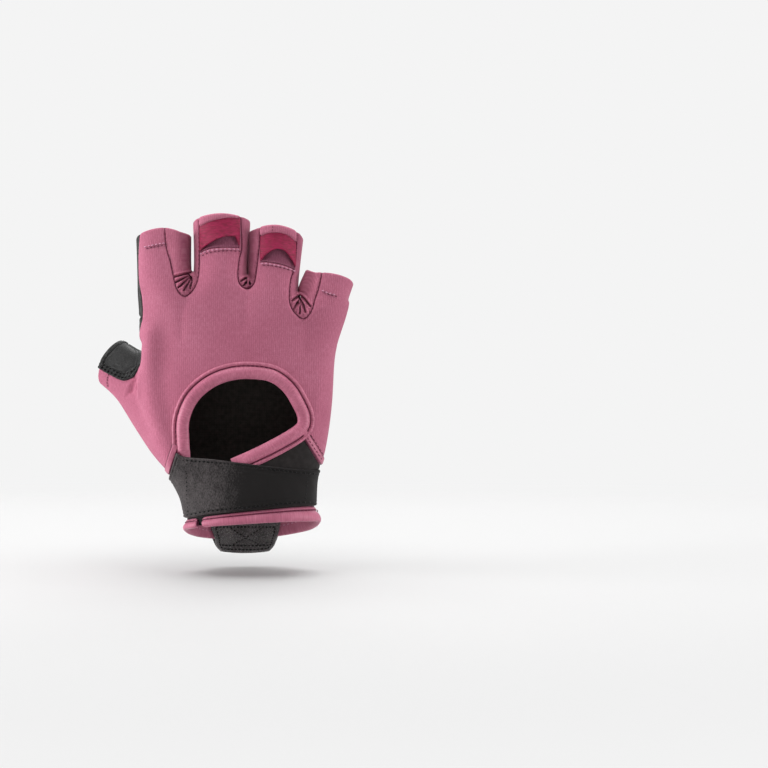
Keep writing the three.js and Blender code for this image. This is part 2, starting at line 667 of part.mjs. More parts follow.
// The black wrist band, below the knit's hems
function wristRegion(wider) {
  const radial = WRIST_SEAM_RADIAL;
  const ulnar = WRIST_SEAM_ULNAR;
  const outline = [
    [radial.innerX, radial.innerZ],
    [radial.outerX, radial.outerZ],
    [-60, radial.outerZ],
    [-60, -30],
    [60, -30],
    [60, ulnar.outerZ],
    [ulnar.outerX, ulnar.outerZ],
    [ulnar.innerX, ulnar.innerZ],
    [12, 42],
    [-20, 42],
  ];
  return prism(grown(turned(outline), wider), -FAR, FAR).subtract(thumbTip(GAP - wider));
}

function hemRegion(seam, side, wider) {
  const along = new THREE.Vector2(seam.outerX - seam.innerX, seam.outerZ - seam.innerZ).normalize();
  const across = new THREE.Vector2(-along.y * side, along.x * side).multiplyScalar(HEM_WIDE);
  const outline = [
    [seam.innerX - along.x * HEM_LEAD, seam.innerZ - along.y * HEM_LEAD],
    [seam.outerX, seam.outerZ],
    [side * 60, seam.outerZ],
    [side * 60, seam.outerZ + HEM_WIDE],
    [seam.outerX + across.x, seam.outerZ + across.y],
    [seam.innerX - along.x * HEM_LEAD + across.x, seam.innerZ - along.y * HEM_LEAD + across.y],
  ];
  return prism(grown(turned(outline), wider), -FAR, HEM_SIDE_Y + wider);
}

function backPath(line) {
  return line.map(([x, z]) => touch(x, z, -1));
}

const bindingPath = backPath(smooth(bindingLine, BINDING_STEPS));
const bindingRoom = sweep(bindingPath, roundSection(BINDING_HALF + GAP, BINDING_PROUD + GAP, WALL + GAP + 0.4));
const openingRoom = prism(turned(smooth(bindingLine, BINDING_STEPS)), -FAR, 0).add(bindingRoom);

function strapOutline(wider) {
  const edges = [...smooth(strap.low, STRAP_STEPS), ...smooth(strap.top, STRAP_STEPS), ...strap.hemEdge];
  return grown(turned(edges), wider);
}

const strapRoom = skin(0, 2 * GAP + STRAP_THICK).intersect(prism(strapOutline(GAP), -FAR, STRAP_REACH + GAP));
const notchRooms = Object.values(notches).map((notch) => notchRegion(notch, GAP));

function withoutNotches(body) {
  return notchRooms.reduce((left, room) => left.subtract(room), body);
}

// Ribs over the finger roots. Each span gives how high the ribs that end in it climb.
const ribSpans = [
  { fromX: -49, toX: -33.6, z: 120.5, climb: 0.42 },
  { fromX: -33.6, toX: -21.2, z: 100.6, climb: 0 },
  { fromX: -20, toX: -8.4, z: 126, climb: 0 },
  { fromX: -8.4, toX: 4.2, z: 99, climb: 0 },
  { fromX: 5, toX: 15.6, z: 118.6, climb: -0.12 },
  { fromX: 15.6, toX: 22.4, z: 88.6, climb: 0 },
  { fromX: 23.2, toX: 41, z: 99.6, climb: -0.3 },
];

function gripSeamHeight(x) {
  const line = leather.gripSeam;
  const i = Math.max(1, line.findIndex(([end]) => end >= x));
  const [[x0, z0], [x1, z1]] = [line[i - 1], line[i]];
  return mix(z0, z1, (x - x0) / (x1 - x0));
}

function rib(footX) {
  const footZ = gripSeamHeight(footX) + RIB_CLEAR;
  const leaning = (z) => footX + (z - footZ) * RIB_LEAN;
  let topZ = footZ;
  for (const span of ribSpans) {
    const x = leaning(span.z);
    if (x >= span.fromX && x <= span.toX) topZ = Math.max(topZ, span.z + span.climb * (x - span.fromX));
  }
  const steps = Math.max(2, Math.round((topZ - footZ) / RIB_STEP));
  const path = Array.from({ length: steps + 1 }, (_, i) => mix(footZ, topZ, i / steps))
    .map((z) => touch(leaning(z), z, 1));
  const half = RIB_WIDE / 2;
  return sweep(path, [[half, -0.5], [0, RIB_PROUD], [-half, -0.5]]);
}

// Pleats where a gusset is gathered at its web: each fans from the notch's bottom to the web
const pleats = {
  index_middle: [
    { side: -1, fromX: -33.2, fromZ: 106, toX: -28.8, toZ: 110.6 },
    { side: -1, fromX: -31.4, fromZ: 103.6, toX: -27.8, toZ: 109 },
    { side: -1, fromX: -28.8, fromZ: 103.4, toX: -27, toZ: 108.6 },
    { side: 1, fromX: -27.4, fromZ: 103.6, toX: -27.8, toZ: 109.6 },
    { side: 1, fromX: -24.8, fromZ: 104.6, toX: -26.8, toZ: 109.2 },
  ],
  middle_ring: [
    { side: -1, fromX: -3.8, fromZ: 107.4, toX: -2.4, toZ: 109.4 },
    { side: -1, fromX: -1, fromZ: 106.8, toX: -1.6, toZ: 109.2 },
    { side: 1, fromX: -4.2, fromZ: 103.4, toX: -2.4, toZ: 107.8 },
    { side: 1, fromX: -1.2, fromZ: 103, toX: -1.6, toZ: 107.6 },
  ],
  ring_little: [
    { side: -1, fromX: 19.2, fromZ: 98.4, toX: 21, toZ: 101.2 },
    { side: -1, fromX: 21.6, fromZ: 94.4, toX: 21.8, toZ: 100.6 },
    { side: -1, fromX: 25, fromZ: 95, toX: 22.6, toZ: 101 },
    { side: 1, fromX: 18, fromZ: 93.4, toX: 21, toZ: 99.4 },
    { side: 1, fromX: 20.4, fromZ: 92.6, toX: 22, toZ: 99 },
  ],
};

function pleat({ side, fromX, fromZ, toX, toZ }) {
  const path = [0, 0.35, 0.7, 1].map((t) => touch(mix(fromX, toX, t), mix(fromZ, toZ, t), side));
  return sweep(path, [[PLEAT_HALF, -0.5], [0, PLEAT_PROUD], [-PLEAT_HALF, -0.5]]);
}

// Pieces
function gusset(name) {
  const side = wall.intersect(notchRegion(notches[name], 0));
  return pleats[name].reduce((body, fold) => body.add(pleat(fold)), side);
}

// From a loop's lower edge up to its upper edge, or past the rim when it has none
function loopOutline(loop, lower, upper) {
  const over = upper === null ? [[loop.right, loop.top], [loop.left, loop.top]] : smooth(upper, 5).reverse();
  return turned([...smooth(lower, 5), ...over]);
}

function loopPiece(loop, lower, upper) {
  const outline = prism(loopOutline(loop, lower, upper), -FAR, 0);
  return withoutNotches(skin(-LOOP_BED, LOOP_PROUD).intersect(outline));
}

function ribbon(loop) {
  return loopPiece(loop, loop.ribbonLow, loop.bandLow.map(([x, z]) => [x, z - GAP]));
}

function band(loop) {
  return loopPiece(loop, loop.bandLow, null);
}

function backPanel() {
  let body = wall.subtract(leatherRegion(GAP)).subtract(wristRegion(GAP)).subtract(openingRoom);
  body = withoutNotches(body)
    .subtract(hemRegion(WRIST_SEAM_RADIAL, -1, GAP))
    .subtract(hemRegion(WRIST_SEAM_ULNAR, 1, GAP));
  for (const loop of Object.values(loops)) {
    const recess = prism(grown(loopOutline(loop, loop.panelTop, null), LOOP_SIDE), -FAR, 0);
    body = body.subtract(skin(-RECESS, 4).intersect(recess));
  }
  return body;
}

function hem(seam, side) {
  const tape = skin(-WALL, HEM_PROUD).intersect(hemRegion(seam, side, 0));
  return tape.subtract(leatherRegion(GAP)).subtract(openingRoom);
}

function wristPanel() {
  return wall.intersect(wristRegion(0)).subtract(leatherRegion(GAP)).subtract(openingRoom);
}

function palmPanel() {
  return withoutNotches(wall.intersect(leatherRegion(0)).subtract(gripRegion(-GAP)));
}

function gripPanel() {
  let body = wall.intersect(leatherRegion(0));
  for (let x = RIB_FIRST_X; x < RIB_LAST_X; x += RIB_PITCH) body = body.add(rib(x));
  return withoutNotches(body.intersect(gripRegion(0)));
}

function openingBinding() {
  return sweep(bindingPath, roundSection(BINDING_HALF, BINDING_PROUD, WALL)).subtract(strapRoom);
}

function wristStrap() {
  return skin(GAP, GAP + STRAP_THICK).intersect(prism(strapOutline(0), -FAR, STRAP_REACH));
}

function thumbPatch() {
  const over = beyond(thumbPlane.clone().negate(), -THUMB_PLANE_Y / thumbPlane.length() - PATCH_TURN);
  const outline = prism(turned(smooth(patchOutline, 18, true)), 3, FAR);
  return skin(GAP, GAP + PATCH_THICK).intersect(outline).intersect(over);
}

// The lower rim of the wall, in order round the wrist from the thumb side over the back
function wristRim() {
  const open = new Map();
  for (const face of wallFaces) {
    face.forEach((a, i) => {
      const b = face[(i + 1) % face.length];
      if (open.has(key(a, b))) open.delete(key(a, b));
      else open.set(key(a, b), [a, b]);
    });
  }
  const next = new Map(open.values());
  const first = [...next.keys()].find((v) => surface.points[v].z < WRIST_TOP);
  const loop = [first];
  while (next.get(loop[loop.length - 1]) !== first) loop.push(next.get(loop[loop.length - 1]));
  return loop;
}

function cuffBinding() {
  const rim = wristRim();
  const edge = new THREE.CatmullRomCurve3(rim.map((v) => surface.points[v]), true);
  const facing = new THREE.CatmullRomCurve3(rim.map((v) => surfaceNormals[v]), true);
  const fine = Array.from({ length: 1000 }, (_, i) => i / 1000);
  const slit = fine.find((t) => edge.getPoint(t).y < 0 && Math.abs(edge.getPoint(t).x - CUFF_SLIT_X) < 0.2);
  const half = CUFF_SLIT / 2 / edge.getLength();
  const path = Array.from({ length: CUFF_STEPS + 1 }, (_, i) => {
    const t = (slit + mix(half, 1 - half, i / CUFF_STEPS)) % 1;
    const normal = facing.getPoint(t).normalize();
    const up = new THREE.Vector3().crossVectors(normal, edge.getTangent(t)).normalize();
    const wide = 1 + CUFF_BINDING_LEAN * edge.getPoint(t).x;
    const point = edge.getPoint(t).addScaledVector(up, -GAP - (wide * CUFF_BINDING_TALL) / 2);
    return { point, normal, wide };
  });
  const section = roundSection(CUFF_BINDING_TALL / 2, CUFF_BINDING_PROUD, CUFF_BINDING_DEEP);
  return sweep(path, section).subtract(strapRoom);
}

// A sheet of one thickness over a grid of points with outward directions
function sheet(grid, thickness) {
  const rows = grid.length;
  const columns = grid[0].length;
  const flat = grid.flat();
  const outer = flat.map(({ point, normal }) => point.clone().addScaledVector(normal, thickness));
  const points = [...outer, ...flat.map(({ point }) => point)];
  const count = flat.length;
  const tris = [];
  const at = (r, c) => r * columns + c;
  for (let r = 0; r + 1 < rows; r++) {
    for (let c = 0; c + 1 < columns; c++) {
      const [a, b, d, e] = [at(r, c), at(r, c + 1), at(r + 1, c + 1), at(r + 1, c)];
      tris.push([a, b, d], [a, d, e], [count + a, count + d, count + b], [count + a, count + e, count + d]);
    }
  }
  const rim = [];
  for (let c = 0; c + 1 < columns; c++) rim.push(at(0, c));
  for (let r = 0; r + 1 < rows; r++) rim.push(at(r, columns - 1));
  for (let c = columns - 1; c > 0; c--) rim.push(at(rows - 1, c));
  for (let r = rows - 1; r > 0; r--) rim.push(at(r, 0));
  rim.forEach((a, i) => {
    const b = rim[(i + 1) % rim.length];
    tris.push([a, count + b, b], [a, count + a, count + b]);
  });
  return solid(points, tris);
}

function tabPiece() {
  const grid = pullTab.map((row) => Array.from({ length: TAB_COLUMNS + 1 }, (_, i) => {
    const x = mix(row.left, row.right, i / TAB_COLUMNS);
    const { point, normal } = touch(x, Math.max(row.z, TAB_HANGS_FROM), 1);
    normal.setZ(0).normalize();
    point.setZ(row.z).addScaledVector(normal, row.stand);
    return { point, normal };
  }));
  return sheet(grid, TAB_THICK);
}

// The largest body that a cut leaves, without its slivers
function mainBody(body) {
  return body.decompose().reduce((best, part) => (part.volume() > best.volume() ? part : best));
}

function piece(name, body, look) {
  const { vertProperties, triVerts } = mainBody(body).getMesh();
  const geometry = new THREE.BufferGeometry();
  geometry.setAttribute("position", new THREE.BufferAttribute(vertProperties, 3));
  geometry.setIndex(new THREE.BufferAttribute(triVerts, 1));
  geometry.computeVertexNormals();
  const mesh = new THREE.Mesh(geometry, new THREE.MeshStandardMaterial({ metalness: 0, ...look }));
  mesh.name = name;
  return mesh;
}

const knit = { color: 0xbe698c, roughness: 0.85 };
const leatherLook = { color: 0x2d2a28, roughness: 0.6 };
const wristBlack = { color: 0x2d2828, roughness: 0.75 };
const strapBlack = { color: 0x3c3739, roughness: 0.8 };
const magenta = { color: 0xa52355, roughness: 0.5 };

const glove = new THREE.Group();
glove.add(piece("back_panel", backPanel(), knit));
glove.add(piece("palm_panel", palmPanel(), leatherLook));
glove.add(piece("grip_panel", gripPanel(), leatherLook));
for (const name of Object.keys(notches)) glove.add(piece(`gusset_${name}`, gusset(name), knit));
glove.add(piece("wrist_panel", wristPanel(), wristBlack));
glove.add(piece("wrist_hem_radial", hem(WRIST_SEAM_RADIAL, -1), knit));
glove.add(piece("wrist_hem_ulnar", hem(WRIST_SEAM_ULNAR, 1), knit));
glove.add(piece("opening_binding", openingBinding(), knit));
glove.add(piece("wrist_strap", wristStrap(), strapBlack));
glove.add(piece("cuff_binding", cuffBinding(), knit));
glove.add(piece("pull_tab", tabPiece(), strapBlack));
glove.add(piece("thumb_patch", thumbPatch(), leatherLook));
for (const [finger, loop] of Object.entries(loops)) {
  glove.add(piece(`loop_ribbon_${finger}`, ribbon(loop), magenta));
  glove.add(piece(`loop_band_${finger}`, band(loop), knit));
}

export default glove;
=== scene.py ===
# The visual model of the fingerless weightlifting glove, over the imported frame.
# Shapes are worked out in millimetres in the row's frame, and meshes are made in metres.

import bpy
import numpy as np
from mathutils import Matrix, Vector
from mathutils.bvhtree import BVHTree
from mathutils.kdtree import KDTree


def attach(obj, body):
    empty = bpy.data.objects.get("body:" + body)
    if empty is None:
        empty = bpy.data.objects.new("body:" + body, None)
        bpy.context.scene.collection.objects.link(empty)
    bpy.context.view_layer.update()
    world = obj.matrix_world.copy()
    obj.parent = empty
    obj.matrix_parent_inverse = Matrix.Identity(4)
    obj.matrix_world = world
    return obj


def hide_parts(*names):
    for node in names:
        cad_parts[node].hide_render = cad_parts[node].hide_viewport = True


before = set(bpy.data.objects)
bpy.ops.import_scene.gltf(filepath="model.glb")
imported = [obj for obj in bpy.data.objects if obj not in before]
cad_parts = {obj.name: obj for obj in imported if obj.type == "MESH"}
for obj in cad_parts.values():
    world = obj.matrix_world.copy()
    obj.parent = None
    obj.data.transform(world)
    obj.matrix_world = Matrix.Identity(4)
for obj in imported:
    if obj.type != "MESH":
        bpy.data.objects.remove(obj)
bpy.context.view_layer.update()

MM = 0.001
LEVELS = 4  # how often the cage is refined
FIT_ROUNDS = 4  # how often the cage is moved towards the points wanted
AROUND = 20  # points of a cut across the hand
FAR = 90  # past everything
GAP = 0.012  # between neighbouring panels
LINING = 1.5  # how far in the inner face of a panel lies
SEAM_RINGS = (0.25, 0.55, 0.95, 1.6)  # distances from a seam at which the mesh has edges
EDGE_RINGS = (0.25, 0.6, 1.1)  # and from a rim or a hem's edge
SEAM_REACH, EDGE_REACH = 1.1, 0.8  # distances over which panels sink to a seam, and loose edges round off
PILLOW_AT = 1.6  # from a seam to where the panel beside it is plumpest
ROLL, ROLL_REACH = 0.55, 0.9  # how far a finger rim rolls in, and over what distance
INNER_ROLL = 0.5  # how far the inner face comes out at a rim
RIMS_Z, CUFF_Z = 40, 15  # the fingers' and thumb's rims lie above the first, the cuff's below the second
UNSEAMED = 9.0  # the seam attribute where there is no seam
ELSEWHERE = 50.0  # a field's value on the side of the hand where its region isn't
SHARP_ANGLE = 50
UNEVEN, UNEVEN_SIZE = 0.22, 26  # of the whole glove
BINDING_LAP = 0.6  # from the middle of the opening's binding to the panels under it
BINDING_STEP, BINDING_PITCH = 0.6, 2.1  # along a binding, of its mesh and of its stitches
BINDING_STITCHES = (2.83, 0.05)  # across and up from the middle of the opening's binding
BINDING_FLAT = 0.2  # its height under the strap, as a share
HEM_WIDE, HEM_PROUD, HEM_SUNK = 3.4, 0.75, 0.35
HEM_LEAD = 4  # how far a hem runs on under the binding of the opening
HEM_SIDE_Y = 6  # the knit's hems end where the side of the wrist turns to the palm
SPLIT_Y = 2.0  # where the palm side meets the back at the wrist
NOTCH_TOP = 150  # above every finger rim
THUMB_TOP = 81.5  # above the thumb the leather follows the index finger
THUMB_FOOT_X = -56.5  # past this the thumb stands free of the hand
INDEX_TURN_X = -42  # how far the leather's turn round the index finger reaches in
THUMB_PLANE = np.array([0.954, 1, 0.263])  # parts the thumb's leather from its knit
THUMB_PLANE_AT = -18.9
STRAP_OVER, STRAP_THICK = 0.3, 1.5
STRAP_RINGS = (0.2, 0.5, 0.9, 1.6, 2.2, 2.8)
STRAP_GROOVES, PATCH_GROOVES, TAB_GROOVES = (1.5, 3.0), (1.5, 2.9), (1.6, 3.4)  # of stitches, from the edge
STRAP_SUNK, PATCH_SUNK, TAB_SUNK = 0.28, 0.3, 0.2  # how deep they are
GROOVE_HALF = 0.4
STRAP_SWELL, STRAP_PUCKER = 0.5, 0.1  # over the opening's binding, and everywhere
STRAP_SEWN_THIN = 0.6  # how much thinner its sewn ends are, as a share
STRAP_REACH = 5  # how far past the middle plane each end of the strap turns
PATCH_OVER, PATCH_THICK = 0.1, 0.8
PATCH_RINGS = (0.2, 0.5, 0.9, 1.4)
BED_DEEP, BED_SLOPE = 1.15, 1.2  # of the sunken panel under a ribbon
BED_UNDER = 0.3  # how much further in its inner face lies than the other panels'
BAND_HALF, BAND_ROLL = 1.05, 0.8  # it lies as far under the wall's surface as over it
RIBBON_STAND, RIBBON_ARCH, RIBBON_THICK = 0.35, 0.75, 0.75
RIBBON_FALL = 4  # over what distance the arch falls away from the ribbon's lower edge
RIBBON_GAP = 0.15  # to the band above it
BAND_RINGS, RIBBON_RINGS = (0.2, 0.5, 0.9), (0.15, 0.4, 0.7)
PATCH_ROWS = (1.1, 2.6)  # where its stitches lie, in from its outline
PATCH_RIM_FOLD, PATCH_FOLD_SUNK = 2.2, 0.5  # how far from the thumb's rim it is folded, and how deep
PATCH_TURN = 4  # how far the patch turns over the thumb's upper side
PATCH_Y = (3, 27)  # and where it ends towards the back and the palm
RIB_PITCH = 2.9
RIB_LEAN = 0.14  # towards the little finger, per millimetre up
RIB_PROUD, RIB_HALF = 0.8, 0.38  # in mm, and as a share of the pitch
RIB_CLEAR = 2.0  # from the grip seam
GUSSET_SUNK, GUSSET_PILLOW = 0.75, 0.3
WEB_HALF, GAP_HALF = 3, 8  # half the widths of the web's bulge and of the shadow in the gap
CREASE_DEEP, CREASE_HALF = 1.25, 0.42
CREASE_RINGS = (0.15, 0.45, 0.8, 1.3)
TURNED_AWAY = 0.12  # surfaces that face the viewer less than this count as missed
STITCH_PITCH = 2.0
STITCH_SIDES = 6
CUFF_TALL = 5.7
CUFF_LEAN = 0.008  # how much taller for each millimetre towards the little finger, as a share
CUFF_SLIT, CUFF_SLIT_X = 3.2, -23.5
CUFF_GAP = 0.2
CUFF_FLARE = (1.6, 2.9)  # how far the tape's lower edge stands out on the left and the right
CUFF_INSIDE = 2.45  # from the tape's middle to its inner face
CUFF_TAPER = 2.2  # how far from the slit the tape gets thinner
CUFF_END_HIGH, CUFF_END_WIDE = 0.4, 0.55  # the shares of its thickness and width that don't get less there
CUFF_STITCHES, CUFF_INNER_STITCHES = 0.275, 0.25  # up from its middle, as shares of its width
TAB_ROWS, TAB_COLS = 48, 66
TAB_LONG, TAB_WIDE = 21.0, 30.0
TAB_BOW = 0.9  # how much longer it is in the middle
TAB_HANGS_FROM = -2  # below this the tab no longer follows the palm
FLOOR_Z = -25.5  # under the middle of the glove
FLOOR_SLOPE = np.tan(np.radians(6))  # the floor rises to the back, and runs level from SLOPE_END on
SLOPE_END, SLOPE_ROUND = 260.0, 120.0
FLOOR_RADIUS = 800.0
FLOOR_FADE = (160.0, 600.0)  # distances over which the floor turns into the evenly lit paper
PAPER_RADIUS = 3000.0  # where the paper turns up
PAPER_BEND, PAPER_TOP = 500.0, 2200.0
SHEET_AROUND = 120
FLOOR_TONE, PAPER_GLOW, WORLD_GLOW = 0.605, 0.905, 0.09
SCENE_X, SCENE_Z = 60.7, 61.6  # what the middle of the picture shows
CAMERA_AWAY, CAMERA_LENS = 1963, 200


def table(columns, *rows):
    """Rows of values under named columns."""
    return [dict(zip(columns.split(), row)) for row in rows]


# Cuts across the hand from below the cuff to the finger roots; the wall starts at the second one
hand_sections = table(
    "radial_z ulnar_z left right back palm rise drop thenar",
    (-10, -4, -28.8, 28.2, 20.3, 20.6, 1.6, 6.5, 0),
    (-1, 5.2, -29.6, 28.6, 20.3, 20.5, 1.6, 6.5, 0),
    (9, 12, -31.4, 28.6, 20, 20.2, 1, 3, 0.4),
    (19.5, 20, -37.2, 29.8, 19, 19.8, 0.5, 0.8, 1.5),
    (30, 30, -46, 33.6, 17.6, 18.4, 0, 0, 3),
    (53, 53, -51, 36.9, 15.2, 15.2, 0, 0, 3.4),
    (76, 74, -49.8, 38.2, 14.2, 13.2, 0, 0, 0.6),
    (92, 87, -51.8, 41.8, 13.9, 13.1, 0, 0, 0),
)
SECTION_ROUND = 2.3  # 2 is an ellipse, more is fuller towards the edges
COLUMN_SHARES = [-0.935, -0.75, -0.485, -0.224, 0.035, 0.277, 0.513, 0.735, 0.908]
THENAR_SHARE, THENAR_WIDE = -0.55, 0.3
root_columns = table(
    "x back palm z",
    (-49.8, -6.2, 6.4, 104), (-40.6, -12.2, 11.8, 105), (-27.6, -11.6, 11.4, 103), (-14.6, -13.8, 13.2, 107),
    (-1.8, -12.4, 12, 104), (9.8, -13.2, 12.8, 103.5), (21.4, -11.4, 11.2, 93.5), (32.8, -11.4, 11, 96),
    (41.2, -6.6, 6.6, 97.5),
)
ROOT_RADIAL, ROOT_ULNAR = (-52.7, 0, 104), (44.8, 0, 98)
webs = [(-27.6, 0, 112.3), (-1.8, 0, 110.3), (21.6, 0, 102.6)]
# The points of the top cut round each finger's root, with 20 to 22 for the webs
finger_roots = {
    "index": (1, 2, 3, 20, 17, 18, 19, 0), "middle": (3, 4, 5, 21, 15, 16, 17, 20),
    "ring": (5, 6, 7, 22, 13, 14, 15, 21), "little": (7, 8, 9, 10, 11, 12, 13, 22),
}
FINGER = "x half y depth back palm left right"  # the last four are the heights of a cut at its four sides
finger_sections = {
    "index": table(FINGER, (-40.6, 12.1, 0, 11.8, 112, 111, 112.5, 116),
                   (-41, 12.4, 1.5, 9.6, 133.4, 130.3, 128.8, 129.8)),
    "middle": table(FINGER, (-14.4, 12.0, 0, 12.5, 115.5, 113, 116, 114.5),
                    (-14.2, 12.7, 1.8, 10, 139.9, 133, 136, 136.6)),
    "ring": table(FINGER, (9.8, 11.1, 0, 12, 112, 110, 114, 107.5),
                  (11.1, 12.1, 1.8, 9.8, 134.6, 127, 131, 128.6)),
    "little": table(FINGER, (33.6, 10.7, 0, 10.4, 101.5, 99, 106, 100.5),
                    (36.5, 10.3, 1.2, 9, 112.6, 106.3, 113.6, 107.8)),
}
FINGER_CORNER, FINGER_ROUND = 0.78, 2.4
thumb_root = table(
    "z back side palm",
    (30, (-42, -9), (-46, 3), (-38.5, 14.5)),
    (53, (-49.2, -5), None, (-42, 17.4)),
    (76, (-48.2, -6.5), (-49.8, 1.5), (-46, 8.6)),
)
thumb_sections = table(
    "centre aim high deep",
    ((-49.8, 10.5, 56.9), (-0.82, 0.5, 0.17), 16.5, 11),
    ((-56.3, 15.9, 64.5), (-0.78, 0.5, 0.36), 12.6, 10.3),
    ((-65.3, 22, 71.1), (-0.747, 0.5, 0.437), 10.9, 9.6),
)
THUMB_ANGLES = [-40, 0, 40, 90, 140, 180, 220, 270]

# Seams and outlines, as x and z seen from the back
notches = {
    "index_middle": {
        "back": [(-39.9, 136), (-39.2, 125), (-37.2, 118), (-35.6, 111), (-34, 105), (-30.8, 101.7),
                 (-27.6, 103.6), (-25.2, 108), (-24.3, 114), (-24.2, 124), (-24.4, 140)],
        "palm": [(-33.4, 134), (-32.3, 122), (-30.8, 112), (-29.4, 105.4), (-26.7, 101.9), (-24, 103.6),
                 (-22.2, 108), (-21, 117), (-20.8, 138)],
    },
    "middle_ring": {
        "back": [(-5.1, 142), (-4.3, 125), (-5.4, 119), (-6, 111.8), (-5.2, 107.6), (-2.1, 105.3),
                 (0.8, 107.4), (1.9, 112), (2.9, 120), (3.6, 127), (3.7, 137)],
        "palm": [(-7.6, 136), (-7.2, 117), (-6.5, 108.4), (-5, 103.4), (-2.4, 100.3), (0, 102.8),
                 (1.4, 107.6), (3.2, 116.5), (4.3, 131)],
    },
    "ring_little": {
        "back": [(20.6, 135), (20.7, 125), (19.8, 115), (18.1, 109), (17.6, 100), (19.4, 95), (23.8, 91.3),
                 (27.2, 94.6), (29.2, 101), (31, 106.5), (32.9, 117)],
        "palm": [(16.5, 130), (16.2, 113), (15.7, 102.7), (16, 95.6), (18.9, 89.8), (21.6, 92.2),
                 (23.4, 97.6), (28.8, 112)],
    },
}
thumb_seam = [(-74, 65.6), (-68.2, 60.6), (-60, 52.5), (-52, 42.5), (-44, 31.5), (-36.5, 22), (-28.5, 12.3)]
little_seam = [(31.4, 25.6), (32.6, 31.7), (35, 50.3), (36, 70), (38.6, 82), (41.8, 94),
               (43.4, 103.6), (44.4, 118)]
grip_seam = [(-62, 94.4), (-51.2, 92.2), (-36.7, 88.1), (-21.7, 85.5), (-6.5, 83.6), (4.9, 81.4), (16.3, 81),
             (27, 84), (40.5, 89.6), (60, 97)]
index_turn = [(-4, 150), (-4, 98), (-3.4, 90), (-2, 85.5), (0, 80.8), (1.5, 76.5), (2, 71)]  # y and z
wrist_radial = ((-34, 29.9), (-38, 18.6))
wrist_ulnar = ((23.9, 36.8), (33.4, 21))
binding_line = [
    (-30.6, 25.6), (-31.4, 35), (-31.3, 45.5), (-27, 55.4), (-18.9, 62.6), (-9.5, 66.3), (0.5, 67),
    (10, 65.4), (17, 60.2), (21.4, 53.4), (24.2, 46.8), (23.5, 41.8), (18.4, 37.7), (9.6, 32.8),
    (1.4, 28.8), (-8, 24.6),
]
strap_low = [(-46, -0.8), (-30, 0.2), (-20, 2), (-10, 3.1), (4, 4.4), (15, 5.6), (23.7, 6), (44, 4.6)]
strap_top = [(44, 22.4), (24.4, 22.4), (9.5, 23.8), (-5, 25.6), (-17, 27.2), (-27, 28), (-31.4, 28.7),
             (-34.2, 30.4)]
strap_hem_edge = [(-37.6, 18.2), (-46, 16)]
# Finger loops: the lower edges of the sunken panel, of the ribbon over it and of the band at the tip
loops = {
    "middle": {
        "left": -23.9, "right": -5.4, "top": 143, "between": ("index_middle", "middle_ring"),
        "panel": [(-23.9, 122), (-19, 123.8), (-12, 124.4), (-5.4, 124.2)],
        "ribbon": [(-23.9, 122.4), (-20.7, 125), (-15.2, 128), (-11.3, 129.1), (-7.6, 129), (-6.5, 127),
                   (-5.4, 123.6)],
        "band": [(-23.9, 133.4), (-18.9, 136), (-11.3, 137.7), (-5.4, 137.5)],
    },
    "ring": {
        "left": 4, "right": 20.3, "top": 138, "between": ("middle_ring", "ring_little"),
        "panel": [(4, 117.8), (8, 117.6), (14.7, 116.2), (20.3, 114.2)],
        "ribbon": [(4, 117.9), (7.2, 121.2), (11.6, 123.4), (15.2, 122.4), (18.2, 118.8), (20.3, 114.9)],
        "band": [(4, 129.1), (7.6, 130.6), (12.2, 130.9), (16.1, 129.9), (20.3, 126.6)],
    },
}
patch_outline = [
    (-57, 88), (-51.8, 76.6), (-51.2, 71), (-51.6, 66.4), (-54, 65), (-57.6, 63.4), (-60.6, 63.3),
    (-66, 65.8), (-72.4, 69.6), (-80, 76), (-70, 90),
]
PATCH_SEWN = slice(3, 10)  # the part of that outline with stitches
# Rows down the pull tab's two layers: stand is how far a layer lies from the palm
TAB = "z left right stand"
tab_layers = {
    "outer": table(
        TAB, (5, -20, 12.6, 0.3), (-2.5, -20, 12.6, 0.4), (-4.5, -19.6, 12.2, 1.3), (-9.2, -18.4, 10.9, 1.4),
        (-13.6, -16.7, 9.2, 1.2), (-16.2, -14.6, 7, 1.1),
    ),
    "inner": table(
        TAB, (7, -22.4, 13.6, -2.0), (0, -22.4, 13.8, -2.3), (-4.5, -21.4, 13.4, -3.0),
        (-9.4, -19.3, 11.9, -2.8), (-10.6, -18.6, 11.1, -1.7), (-11.6, -18, 10.6, -0.3),
        (-12.8, -17.3, 9.8, 0.6), (-14.2, -16.4, 8.8, 1.0), (-16, -14.6, 7, 1.2),
    ),
}
